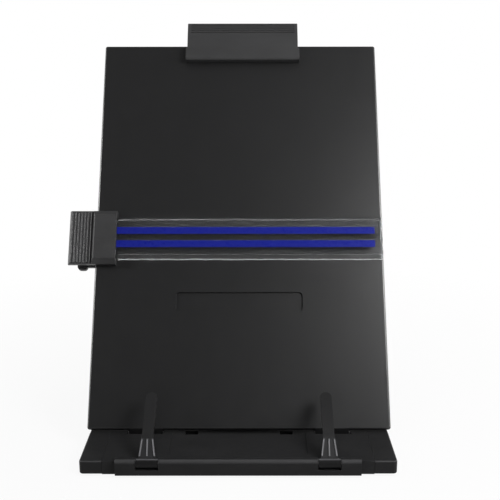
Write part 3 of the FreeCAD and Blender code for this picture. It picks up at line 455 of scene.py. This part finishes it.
@dataclass(frozen=True)
class ClearPlastic:
    """Clear polished plastic, faintly hazed and handled."""

    name: str
    slot: str
    colour: Colour
    roughness: float
    haze: float
    haze_colour: Colour = (0.75, 0.76, 0.78)
    shadow_colour: Colour = (0.9, 0.91, 0.92)
    ior: float = 1.49
    smear: Cloud = Cloud(7 * MM, 4.0, 0.6, (0.4, 1.0, 1.0), low=0.35, high=0.75)
    smeared: float = 0.97
    worn: Cloud = Cloud(4 * MM, 5.0, 0.7, seed=2.0, low=0.35, high=0.75)
    wear: float = 0.03

    def make(self) -> bpy.types.Material:
        """Builds the material: clear plastic, with plain see-through for shadow rays.

        Returns:
            The material.
        """
        shader = Shader(self.name)
        smeared = toned(self.colour, self.smeared)
        shader.feed("Base Color", shader.mix(shader.clouded(self.smear), self.colour, smeared))
        shader.feed("Roughness", shader.clouded(self.worn, self.roughness,
                                                self.roughness + self.wear))
        shader.set(Transmission_Weight=1.0, IOR=self.ior)
        nodes = shader.tree.nodes
        veil = nodes.new("ShaderNodeBsdfDiffuse")
        veil.inputs["Color"].default_value = (*self.haze_colour, 1.0)
        hazed = nodes.new("ShaderNodeMixShader")
        hazed.inputs["Fac"].default_value = self.haze
        shader.link(shader.surface.outputs[0], hazed.inputs[1])
        shader.link(veil.outputs[0], hazed.inputs[2])
        through = nodes.new("ShaderNodeBsdfTransparent")
        through.inputs["Color"].default_value = (*self.shadow_colour, 1.0)
        path = nodes.new("ShaderNodeLightPath")
        chosen = nodes.new("ShaderNodeMixShader")
        shader.link(path.outputs["Is Shadow Ray"], chosen.inputs["Fac"])
        shader.link(hazed.outputs[0], chosen.inputs[1])
        shader.link(through.outputs[0], chosen.inputs[2])
        shader.link(chosen.outputs[0], shader.output.inputs["Surface"])
        return shader.material


@dataclass(frozen=True)
class PrintedLine:
    """Opaque printed ink with a soft sheen and a slightly uneven lay."""

    name: str
    slot: str
    colour: Colour
    deeper: float = 0.93
    lay: Cloud = Cloud(2.5 * MM, 5.0, 0.65, (0.25, 1.0, 1.0), low=0.35, high=0.72)
    sheen: Cloud = Cloud(1.5 * MM, seed=1.0)
    roughness: tuple[float, float] = (0.24, 0.34)
    tooth: Cloud = Cloud(0.5 * MM, seed=9.0)
    tooth_depth: float = 0.004 * MM
    specular: float = 0.12

    def make(self) -> bpy.types.Material:
        """Builds the material.

        Returns:
            The material.
        """
        shader = Shader(self.name)
        deeper = toned(self.colour, self.deeper)
        shader.feed("Base Color", shader.mix(shader.clouded(self.lay), self.colour, deeper))
        shader.feed("Roughness", shader.clouded(self.sheen, *self.roughness))
        shader.bump(shader.noise(self.tooth), self.tooth_depth)
        shader.set(Specular_IOR_Level=self.specular)
        return shader.material


@dataclass(frozen=True)
class PlatedSteel:
    """Drawn and plated steel, with fine lines along the drawing direction."""

    name: str
    slot: str
    colour: Colour
    roughness: float
    darker: float = 0.8
    stain: Cloud = Cloud(3 * MM, 4.0, 0.6, seed=5.0, low=0.35)
    lines: Cloud = Cloud(0.25 * MM, 4.0, 0.6, (0.02, 1.0, 1.0))
    polish: float = 0.06
    wear: float = 0.08
    line_depth: float = 0.006 * MM

    def make(self) -> bpy.types.Material:
        """Builds the material.

        Returns:
            The material.
        """
        shader = Shader(self.name)
        darker = toned(self.colour, self.darker)
        shader.feed("Base Color", shader.mix(shader.clouded(self.stain), self.colour, darker))
        lines = shader.noise(self.lines)
        shader.feed("Roughness", shader.ramp(lines, self.lines.low, self.lines.high,
                                             self.roughness - self.polish,
                                             self.roughness + self.wear))
        shader.bump(lines, self.line_depth)
        shader.set(Metallic=1.0)
        return shader.material


@dataclass(frozen=True)
class SoftRubber:
    """Matt black rubber with a trace of dust in its pores."""

    name: str
    slot: str
    colour: Colour
    dusty: float = 2.2
    dust: Cloud = Cloud(1.2 * MM, 5.0, 0.7, low=0.5, high=0.8)
    worn: Cloud = Cloud(3 * MM, seed=2.0)
    roughness: tuple[float, float] = (0.72, 0.88)
    pore: float = 0.4 * MM
    pore_depth: float = 0.03 * MM

    def make(self) -> bpy.types.Material:
        """Builds the material.

        Returns:
            The material.
        """
        shader = Shader(self.name)
        dusty = toned(self.colour, self.dusty)
        shader.feed("Base Color", shader.mix(shader.clouded(self.dust), self.colour, dusty))
        shader.feed("Roughness", shader.clouded(self.worn, *self.roughness))
        shader.bump(shader.grains(self.pore), self.pore_depth)
        return shader.material


class Finish(Enum):
    """Every finish on the object."""

    BOARD = PowderCoat("board_powder_coat", "board_paint", (0.0062, 0.0062, 0.0065),
                       roughness=0.33, specular=0.5)
    LEG = PowderCoat("leg_powder_coat", "leg_paint", (0.008, 0.008, 0.0085),
                     roughness=0.45, specular=0.4)
    # BASE and LIP get a painted highlight on their up-facing rounded edges.
    BASE = Moulding("base_moulding", "base_plastic", (0.0098, 0.0098, 0.0101),
                    roughness=0.48, specular=0.1, painted_edge_highlight=3.2)
    LIP = Moulding("lip_moulding", "lip_plastic", (0.0098, 0.0098, 0.0101),
                   roughness=0.38, specular=0.1, painted_edge_highlight=3.3)
    CLIP = Moulding("clip_moulding", "clip_plastic", (0.0200, 0.0200, 0.0206),
                    roughness=0.44, specular=0.3, grain_depth=0.006 * MM)
    # The finger's paler lower blade is a painted sheen, and its light ridges are painted
    # highlights.
    FINGER = SmokedPlastic("finger_plastic", "finger_plastic", (0.0075, 0.0075, 0.0078),
                           blade_sheen_colour=(0.019, 0.019, 0.02), ridge_highlight_colour=(0.16, 0.16, 0.168),
                           roughness=0.36)
    CLEAR = ClearPlastic("guide_clear_plastic", "clear_plastic", (0.96, 0.97, 0.975),
                         roughness=0.02, haze=0.0015)
    BLUE = PrintedLine("printed_blue", "line_blue", (0.0070, 0.0115, 0.165))
    STEEL = PlatedSteel("plated_steel", "pin_steel", (0.78, 0.78, 0.79), roughness=0.34)
    WIRE = PlatedSteel("spring_wire", "spring_steel", (0.5, 0.5, 0.51), roughness=0.32)
    RUBBER = SoftRubber("black_rubber", "rubber", (0.012, 0.012, 0.012))


class Finishes:
    """Makes each finish's material once and hands it out."""

    def __init__(self) -> None:
        """Starts with none made."""
        self._made: dict[Finish, bpy.types.Material] = {}

    def get(self, finish: Finish) -> bpy.types.Material:
        """Gives a finish's material, and makes it the first time.

        Args:
            finish: The finish.

        Returns:
            Its material.
        """
        if finish not in self._made:
            self._made[finish] = finish.value.make()
        return self._made[finish]

    def dress(self, obj: bpy.types.Object, finish: Finish) -> None:
        """Gives an object one finish all over.

        Args:
            obj: The object.
            finish: The finish.
        """
        material = self.get(finish)
        if not obj.data.materials:
            obj.data.materials.append(material)
        for index in range(len(obj.material_slots)):
            obj.material_slots[index].material = material

    def dress_node(self, node: str, finish: Finish) -> None:
        """Gives a finish to a CAD node that is kept as it is."""
        self.dress(frame["nodes"][node], finish)
        LOG.info("%s: kept on %s", node, body_of_node(node))


# Mesh work


def put_for_node(node: str, mesh: bpy.types.Mesh, finish: Finish,
                 finishes: Finishes) -> bpy.types.Object:
    """Puts a finished mesh in the scene in place of a CAD node.

    Args:
        node: The CAD node that it replaces, whose body it rides on.
        mesh: The mesh, with its place in it and the new piece's name.
        finish: The piece's finish.
        finishes: The material store.

    Returns:
        The new object.
    """
    obj = bpy.data.objects.new(mesh.name, mesh)
    bpy.context.scene.collection.objects.link(obj)
    finishes.dress(obj, finish)
    body = body_of_node(node)
    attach(obj, body)
    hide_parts(node)
    LOG.info("%s: %d faces on %s", obj.name, len(mesh.polygons), body)
    return obj


def merged_copy(node: str, name: str) -> bpy.types.Mesh:
    """Copies a CAD node's mesh with its corners welded and its flat areas as single faces.

    Args:
        node: The CAD node's name.
        name: The new mesh's name.

    Returns:
        The new mesh.
    """
    bm = bmesh.new()
    bm.from_mesh(frame["nodes"][node].data)
    bmesh.ops.remove_doubles(bm, verts=bm.verts, dist=WELD_WITHIN)
    bmesh.ops.dissolve_limit(bm, angle_limit=FLAT_WITHIN, verts=bm.verts, edges=bm.edges)
    mesh = bpy.data.meshes.new(name)
    bm.to_mesh(mesh)
    bm.free()
    return mesh


def ease_edges(obj: bpy.types.Object, width: float, segments: int) -> None:
    """Rounds a piece's sharp edges with a live bevel and smooth shading.

    Args:
        obj: The piece.
        width: The bevel's width, in metres.
        segments: How many steps round each edge.
    """
    bevel = obj.modifiers.new("eased_edges", "BEVEL")
    bevel.width = width
    bevel.segments = segments
    bevel.limit_method = "ANGLE"
    bevel.angle_limit = SHARP_OVER
    bevel.use_clamp_overlap = True
    obj.data.polygons.foreach_set("use_smooth", [True] * len(obj.data.polygons))
    flat = obj.modifiers.new("flat_faces", "WEIGHTED_NORMAL")
    flat.mode = "FACE_AREA"
    flat.weight = FACE_WEIGHT


def ease_node(node: str, finish: Finish, finishes: Finishes, width: float,
              segments: int = 2) -> None:
    """Replaces a CAD node by a welded copy whose edges are slightly rounded.

    Args:
        node: The CAD node's name.
        finish: The piece's finish.
        finishes: The material store.
        width: The width of the rounding, in metres.
        segments: How many steps round each edge.
    """
    obj = put_for_node(node, merged_copy(node, node + "_eased"), finish, finishes)
    ease_edges(obj, width, segments)


# Geometry Nodes


class NodeTree:
    """A Geometry Nodes tree under construction, with named inputs."""

    def __init__(self, name: str) -> None:
        """Starts an empty tree with one geometry output.

        Args:
            name: The tree's name.
        """
        self.tree = bpy.data.node_groups.new(name, "GeometryNodeTree")
        self.tree.interface.new_socket("Geometry", in_out="OUTPUT",
                                       socket_type="NodeSocketGeometry")
        self.inputs = self.tree.nodes.new("NodeGroupInput")
        self.output = self.tree.nodes.new("NodeGroupOutput")
        self.ids: dict[str, str] = {}

    def take(self, name: str, kind: str) -> None:
        """Adds a named input of a socket kind."""
        socket = self.tree.interface.new_socket(name, in_out="INPUT", socket_type=kind)
        self.ids[name] = socket.identifier

    def add(self, kind: str, **settings: object) -> bpy.types.Node:
        """Adds a node.

        Args:
            kind: The node's type.
            settings: Its properties.

        Returns:
            The node.
        """
        node = self.tree.nodes.new(kind)
        for key, value in settings.items():
            setattr(node, key, value)
        return node

    def link(self, source: Socket, target: Socket) -> None:
        """Joins two sockets."""
        self.tree.links.new(source, target)

    def finish(self, geometry: Socket) -> None:
        """Ends the tree in Realize Instances and Set Material.

        Args:
            geometry: What the tree has made.
        """
        real = self.add("GeometryNodeRealizeInstances")
        paint = self.add("GeometryNodeSetMaterial")
        self.link(geometry, real.inputs["Geometry"])
        self.link(real.outputs["Geometry"], paint.inputs["Geometry"])
        self.link(self.inputs.outputs["Finish"], paint.inputs["Material"])
        self.link(paint.outputs["Geometry"], self.output.inputs["Geometry"])

    def bake(self, name: str, place: Matrix, **values: object) -> bpy.types.Mesh:
        """Runs the tree and gives its result as a plain mesh in its place.

        Args:
            name: The new mesh's name.
            place: Where the result goes.
            values: The tree's inputs by name.

        Returns:
            The mesh.
        """
        holder = bpy.data.objects.new(name + "_maker", bpy.data.meshes.new(name + "_empty"))
        bpy.context.scene.collection.objects.link(holder)
        modifier = holder.modifiers.new("maker", "NODES")
        modifier.node_group = self.tree
        for key, value in values.items():
            modifier[self.ids[key]] = value
        graph = bpy.context.evaluated_depsgraph_get()
        mesh = bpy.data.meshes.new_from_object(holder.evaluated_get(graph), depsgraph=graph)
        mesh.name = name
        mesh.transform(place)
        holder.modifiers.remove(modifier)
        bpy.data.objects.remove(holder)
        return mesh


@dataclass(frozen=True)
class Coil:
    """The wire's thickness in metres, and how many turns it makes."""

    wire: float
    turns: float


class SpringWinder:
    """Winds round wire springs and puts them in place of the CAD ones."""

    steps_a_turn: int = 28
    wire_sides: int = 12

    def __init__(self, finishes: Finishes) -> None:
        """Builds the tree, which winds a spring up its own Z axis.

        Args:
            finishes: The material store.
        """
        self.finishes = finishes
        self.tree = NodeTree("wire_spring")
        for name in ("Turns", "Radius", "Height", "Wire"):
            self.tree.take(name, "NodeSocketFloat")
        self.tree.take("Finish", "NodeSocketMaterial")
        given = self.tree.inputs.outputs
        spiral = self.tree.add("GeometryNodeCurveSpiral")
        spiral.inputs["Resolution"].default_value = self.steps_a_turn
        self.tree.link(given["Turns"], spiral.inputs["Rotations"])
        self.tree.link(given["Radius"], spiral.inputs["Start Radius"])
        self.tree.link(given["Radius"], spiral.inputs["End Radius"])
        self.tree.link(given["Height"], spiral.inputs["Height"])
        ring = self.tree.add("GeometryNodeCurvePrimitiveCircle")
        ring.inputs["Resolution"].default_value = self.wire_sides
        half = self.tree.add("ShaderNodeMath", operation="MULTIPLY")
        self.tree.link(given["Wire"], half.inputs[0])
        half.inputs[1].default_value = 0.5
        self.tree.link(half.outputs[0], ring.inputs["Radius"])
        tube = self.tree.add("GeometryNodeCurveToMesh")
        tube.inputs["Fill Caps"].default_value = True
        self.tree.link(spiral.outputs[0], tube.inputs["Curve"])
        self.tree.link(ring.outputs[0], tube.inputs["Profile Curve"])
        smooth = self.tree.add("GeometryNodeSetShadeSmooth")
        self.tree.link(tube.outputs[0], smooth.inputs["Geometry"])
        self.tree.finish(smooth.outputs[0])

    def wind(self, node: str, coil: Coil, axis: Vector) -> None:
        """Replaces a CAD spring by a smooth one of the same size in the same place.

        Args:
            node: The CAD node.
            coil: Its wire and turns.
            axis: The direction of its axis.
        """
        points = [v.co for v in frame["nodes"][node].data.vertices]
        along = [p.dot(axis) for p in points]
        middle = sum(points, Vector()) / len(points)
        centre = middle - axis * middle.dot(axis)
        outer = max((p - centre - axis * p.dot(axis)).length for p in points)
        start = centre + axis * (min(along) + coil.wire / 2)
        end = centre + axis * (max(along) - coil.wire / 2)
        turn = (end - start).to_track_quat("Z", "Y").to_matrix().to_4x4()
        mesh = self.tree.bake(node + "_wound", Matrix.Translation(start) @ turn, Turns=coil.turns,
                              Radius=outer - coil.wire / 2, Height=(end - start).length,
                              Wire=coil.wire, Finish=self.finishes.get(Finish.WIRE))
        put_for_node(node, mesh, Finish.WIRE, self.finishes)


# Sub-assemblies


@dataclass
class Base:
    """The ledge, its end caps and lip, and the frame behind them."""

    finishes: Finishes
    edge: float = 0.35 * MM
    cap_edge: float = 0.5 * MM
    moulded: tuple[str, ...] = ("base_ledge", "rear_frame", "notch_rail_left", "notch_rail_right")
    caps: tuple[str, ...] = ("end_cap_left", "end_cap_right")
    steel: tuple[str, ...] = ("board_hinge_pin_left", "board_hinge_pin_right", "finger_pin_left",
                              "finger_pin_right", "base_screws")
    rubber: tuple[str, ...] = ("feet", "front_grip_strip")

    def build(self) -> None:
        """Makes and dresses every piece of the base."""
        for node in self.moulded:
            ease_node(node, Finish.BASE, self.finishes, self.edge)
        for node in self.caps:
            ease_node(node, Finish.BASE, self.finishes, self.cap_edge)
        ease_node("front_lip", Finish.LIP, self.finishes, self.edge)
        for node in self.steel:
            self.finishes.dress_node(node, Finish.STEEL)
        for node in self.rubber:
            self.finishes.dress_node(node, Finish.RUBBER)


@dataclass
class Easel:
    """The sheet board with its bracket, and the leg behind it."""

    finishes: Finishes
    edge: float = 0.18 * MM

    def build(self) -> None:
        """Makes and dresses the board and the leg."""
        ease_node("board_panel", Finish.BOARD, self.finishes, self.edge)
        ease_node("leg_bracket", Finish.LEG, self.finishes, self.edge)
        ease_node("support_leg", Finish.LEG, self.finishes, self.edge)
        for node in ("leg_hinge_pin", "leg_foot_rod"):
            self.finishes.dress_node(node, Finish.STEEL)


@dataclass
class PageFingers:
    """The two sprung page fingers."""

    finishes: Finishes
    edge: float = 0.3 * MM
    edge_steps: int = 3
    coil: Coil = Coil(0.55 * MM, 4.0)

    def build(self, winder: SpringWinder) -> None:
        """Makes both fingers and their springs.

        Args:
            winder: The spring maker.
        """
        for side in ("left", "right"):
            ease_node("page_finger_" + side, Finish.FINGER, self.finishes, self.edge,
                      self.edge_steps)
            axis = joint_axis("finger_%s_swing" % side)
            winder.wind("finger_spring_" + side, self.coil, axis)


@dataclass
class LineGuide:
    """The clip on the board's left edge, with the clear strip and its printed lines."""

    finishes: Finishes
    edge: float = 0.45 * MM
    strip_edge: float = 0.2 * MM
    front_steps: int = 3
    coil: Coil = Coil(0.8 * MM, 5.0)

    def build(self, winder: SpringWinder) -> None:
        """Makes and dresses the whole guide.

        Args:
            winder: The spring maker.
        """
        ease_node("guide_front_jaw", Finish.CLIP, self.finishes, self.edge, self.front_steps)
        ease_node("guide_rear_jaw", Finish.CLIP, self.finishes, self.edge)
        ease_node("guide_strip", Finish.CLEAR, self.finishes, self.strip_edge, self.front_steps)
        for node in ("guide_line_upper", "guide_line_lower"):
            self.finishes.dress_node(node, Finish.BLUE)
        for node in ("guide_pivot_pin", "guide_rivets"):
            self.finishes.dress_node(node, Finish.STEEL)
        self.finishes.dress_node("guide_pad", Finish.RUBBER)
        winder.wind("guide_spring", self.coil, joint_axis("guide_slide"))


@dataclass
class TopClip:
    """The wide spring clip on the board's top edge."""

    finishes: Finishes
    edge: float = 0.4 * MM
    front_steps: int = 3
    coil: Coil = Coil(0.8 * MM, 5.0)

    def build(self, winder: SpringWinder) -> None:
        """Makes and dresses the clip.

        Args:
            winder: The spring maker.
        """
        ease_node("clip_front_jaw", Finish.CLIP, self.finishes, self.edge, self.front_steps)
        ease_node("clip_rear_jaw", Finish.CLIP, self.finishes, self.edge)
        self.finishes.dress_node("clip_pivot_pin", Finish.STEEL)
        self.finishes.dress_node("clip_pad", Finish.RUBBER)
        winder.wind("clip_spring", self.coil, joint_axis("clip_slide"))


# Studio


def grey(level: float) -> tuple[float, float, float, float]:
    """An opaque grey of a level."""
    return (level, level, level, 1.0)


def rays(tree: bpy.types.NodeTree, kinds: Sequence[str]) -> Socket:
    """Picks out some kinds of ray.

    Args:
        tree: The tree to add the nodes to.
        kinds: Light Path's outputs.

    Returns:
        1 for rays of these kinds, and 0 for the rest.
    """
    path = tree.nodes.new("ShaderNodeLightPath")
    total = path.outputs[kinds[0]]
    for name in kinds[1:]:
        node = tree.nodes.new("ShaderNodeMath")
        node.operation = "MAXIMUM"
        tree.links.new(total, node.inputs[0])
        tree.links.new(path.outputs[name], node.inputs[1])
        total = node.outputs[0]
    return total


@dataclass(frozen=True)
class Lamp:
    """One square area lamp aimed at a point.

    A lamp that isn't mirrored gives no highlight, and one that doesn't light matt surfaces gives
    only highlights.
    """

    name: str
    place: Vec
    target: Vec
    size: float
    power: float
    mirrored: bool = True
    lights_matt: bool = True

    def build(self) -> None:
        """Hangs the lamp, out of the camera's sight."""
        data = bpy.data.lights.new(self.name, "AREA")
        data.shape = "SQUARE"
        data.size = self.size
        data.energy = self.power
        obj = bpy.data.objects.new(self.name, data)
        obj.location = self.place
        aim = Vector(self.target) - Vector(self.place)
        obj.rotation_euler = aim.to_track_quat("-Z", "Y").to_euler()
        obj.visible_camera = False
        obj.visible_glossy = self.mirrored
        obj.visible_diffuse = self.lights_matt
        bpy.context.scene.collection.objects.link(obj)


@dataclass
class Studio:
    """The floor, the world, the lamps and the camera.

    The floor's shadow_reach and shadow_share say how far from the middle it turns plain white, and
    how white it is there and before. The backdrop is what reflections show, as heights and greys.
    """

    camera_place: Vec = (0.009384, -0.590088, 0.323725)
    camera_down: float = 14.513
    camera_turn: float = 0.05
    camera_roll: float = 0.048
    lens: float = 62.6
    sensor_width: float = 36.0
    nearest: float = 0.01
    floor_half: float = 4.0
    floor_colour: float = 0.45
    shadow_reach: tuple[float, float] = (0.2, 0.6)
    shadow_share: tuple[float, float] = (0.92, 1.0)
    room_light: float = 0.28
    backdrop: tuple[tuple[float, float], ...] = (
        (0.0, 1.0), (0.1, 1.0), (0.3, 0.14), (0.55, 0.05), (0.75, 0.06), (0.95, 0.25),
    )
    lamps: tuple[Lamp, ...] = (
        Lamp("right_softbox", (0.54, -0.374, 0.618), (0.0, 0.12, 0.15), 0.36, 8.5),
        Lamp("left_strip", (-0.93, -0.17, 0.65), (-0.12, 0.12, 0.15), 0.3, 13.0,
             lights_matt=False),
        Lamp("right_strip", (0.93, -0.17, 0.65), (0.12, 0.12, 0.15), 0.3, 10.0,
             lights_matt=False),
        Lamp("right_rim", (1.2, 0.3, 0.4), (0.0, 0.1, 0.15), 0.8, 6.0),
        Lamp("left_rim", (-1.2, 0.3, 0.4), (0.0, 0.1, 0.15), 0.8, 6.0),
        Lamp("overhead", (0.0, 0.15, 1.5), (0.0, 0.1, 0.1), 0.9, 11.0, mirrored=False),
    )

    def build(self) -> None:
        """Makes the floor, world, lamps and camera."""
        self.floor()
        self.world()
        for lamp in self.lamps:
            lamp.build()
        self.camera()

    def floor(self) -> None:
        """A white floor that keeps a soft shadow."""
        half = self.floor_half
        mesh = bpy.data.meshes.new("floor")
        corners = [(-half, -half, 0.0), (half, -half, 0.0), (half, half, 0.0), (-half, half, 0.0)]
        mesh.from_pydata(corners, [], [(0, 1, 2, 3)])
        obj = bpy.data.objects.new("floor", mesh)
        bpy.context.scene.collection.objects.link(obj)
        mesh.materials.append(self.floor_material())

    def floor_material(self) -> bpy.types.Material:
        """Builds a floor that lights the object as grey and is seen as white.

        Returns:
            The material.
        """
        material = bpy.data.materials.new("floor_white")
        material.use_nodes = True
        tree = material.node_tree
        tree.nodes.clear()
        output = tree.nodes.new("ShaderNodeOutputMaterial")
        matt = tree.nodes.new("ShaderNodeBsdfDiffuse")
        matt.inputs["Color"].default_value = grey(self.floor_colour)
        white = tree.nodes.new("ShaderNodeEmission")
        place = tree.nodes.new("ShaderNodeTexCoord")
        away = tree.nodes.new("ShaderNodeVectorMath")
        away.operation = "LENGTH"
        tree.links.new(place.outputs["Object"], away.inputs[0])
        fade = tree.nodes.new("ShaderNodeMapRange")
        ends = ("From Min", "From Max", "To Min", "To Max")
        for socket, value in zip(ends, self.shadow_reach + self.shadow_share):
            fade.inputs[socket].default_value = value
        tree.links.new(away.outputs["Value"], fade.inputs["Value"])
        share = tree.nodes.new("ShaderNodeMath")
        share.operation = "MULTIPLY"
        seen = rays(tree, ("Is Camera Ray", "Is Glossy Ray", "Is Transmission Ray"))
        tree.links.new(seen, share.inputs[0])
        tree.links.new(fade.outputs[0], share.inputs[1])
        blend = tree.nodes.new("ShaderNodeMixShader")
        tree.links.new(share.outputs[0], blend.inputs["Fac"])
        tree.links.new(matt.outputs[0], blend.inputs[1])
        tree.links.new(white.outputs[0], blend.inputs[2])
        tree.links.new(blend.outputs[0], output.inputs["Surface"])
        return material

    def world(self) -> None:
        """A soft grey for light, white for the camera, and the backdrop for reflections."""
        world = bpy.data.worlds.new("studio")
        bpy.context.scene.world = world
        world.use_nodes = True
        tree = world.node_tree
        tree.nodes.clear()
        output = tree.nodes.new("ShaderNodeOutputWorld")
        light = tree.nodes.new("ShaderNodeBackground")
        light.inputs["Color"].default_value = grey(self.room_light)
        place = tree.nodes.new("ShaderNodeTexCoord")
        parts = tree.nodes.new("ShaderNodeSeparateXYZ")
        tree.links.new(place.outputs["Generated"], parts.inputs[0])
        rise = tree.nodes.new("ShaderNodeValToRGB")
        for height, _ in self.backdrop[len(rise.color_ramp.elements):]:
            rise.color_ramp.elements.new(height)
        for stop, (height, level) in zip(rise.color_ramp.elements, self.backdrop):
            stop.position = height
            stop.color = grey(level)
        tree.links.new(parts.outputs["Z"], rise.inputs[0])
        backdrop = tree.nodes.new("ShaderNodeBackground")
        tree.links.new(rise.outputs[0], backdrop.inputs["Color"])
        white = tree.nodes.new("ShaderNodeBackground")
        white.inputs["Color"].default_value = grey(1.0)
        result = light.outputs[0]
        for kinds, look in ((("Is Glossy Ray", "Is Transmission Ray"), backdrop),
                            (("Is Camera Ray",), white)):
            blend = tree.nodes.new("ShaderNodeMixShader")
            tree.links.new(rays(tree, kinds), blend.inputs["Fac"])
            tree.links.new(result, blend.inputs[1])
            tree.links.new(look.outputs[0], blend.inputs[2])
            result = blend.outputs[0]
        tree.links.new(result, output.inputs["Surface"])

    def camera(self) -> None:
        """The camera, at the photograph's place and angle."""
        data = bpy.data.cameras.new("camera")
        data.lens = self.lens
        data.sensor_width = self.sensor_width
        data.clip_start = self.nearest
        obj = bpy.data.objects.new("camera", data)
        obj.location = self.camera_place
        obj.rotation_euler = (math.radians(90.0 - self.camera_down), 0.0,
                              math.radians(self.camera_turn))
        obj.rotation_euler.rotate_axis("Z", math.radians(-self.camera_roll))
        bpy.context.scene.collection.objects.link(obj)
        bpy.context.scene.camera = obj


def main() -> None:
    """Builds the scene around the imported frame."""
    logging.basicConfig(level=logging.INFO, format="%(name)s: %(message)s")
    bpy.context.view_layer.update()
    bpy.context.scene.view_settings.view_transform = "Standard"
    finishes = Finishes()
    winder = SpringWinder(finishes)
    Studio().build()
    Base(finishes).build()
    Easel(finishes).build()
    PageFingers(finishes).build(winder)
    LineGuide(finishes).build(winder)
    TopClip(finishes).build(winder)


if __name__ == "__main__":
    main()
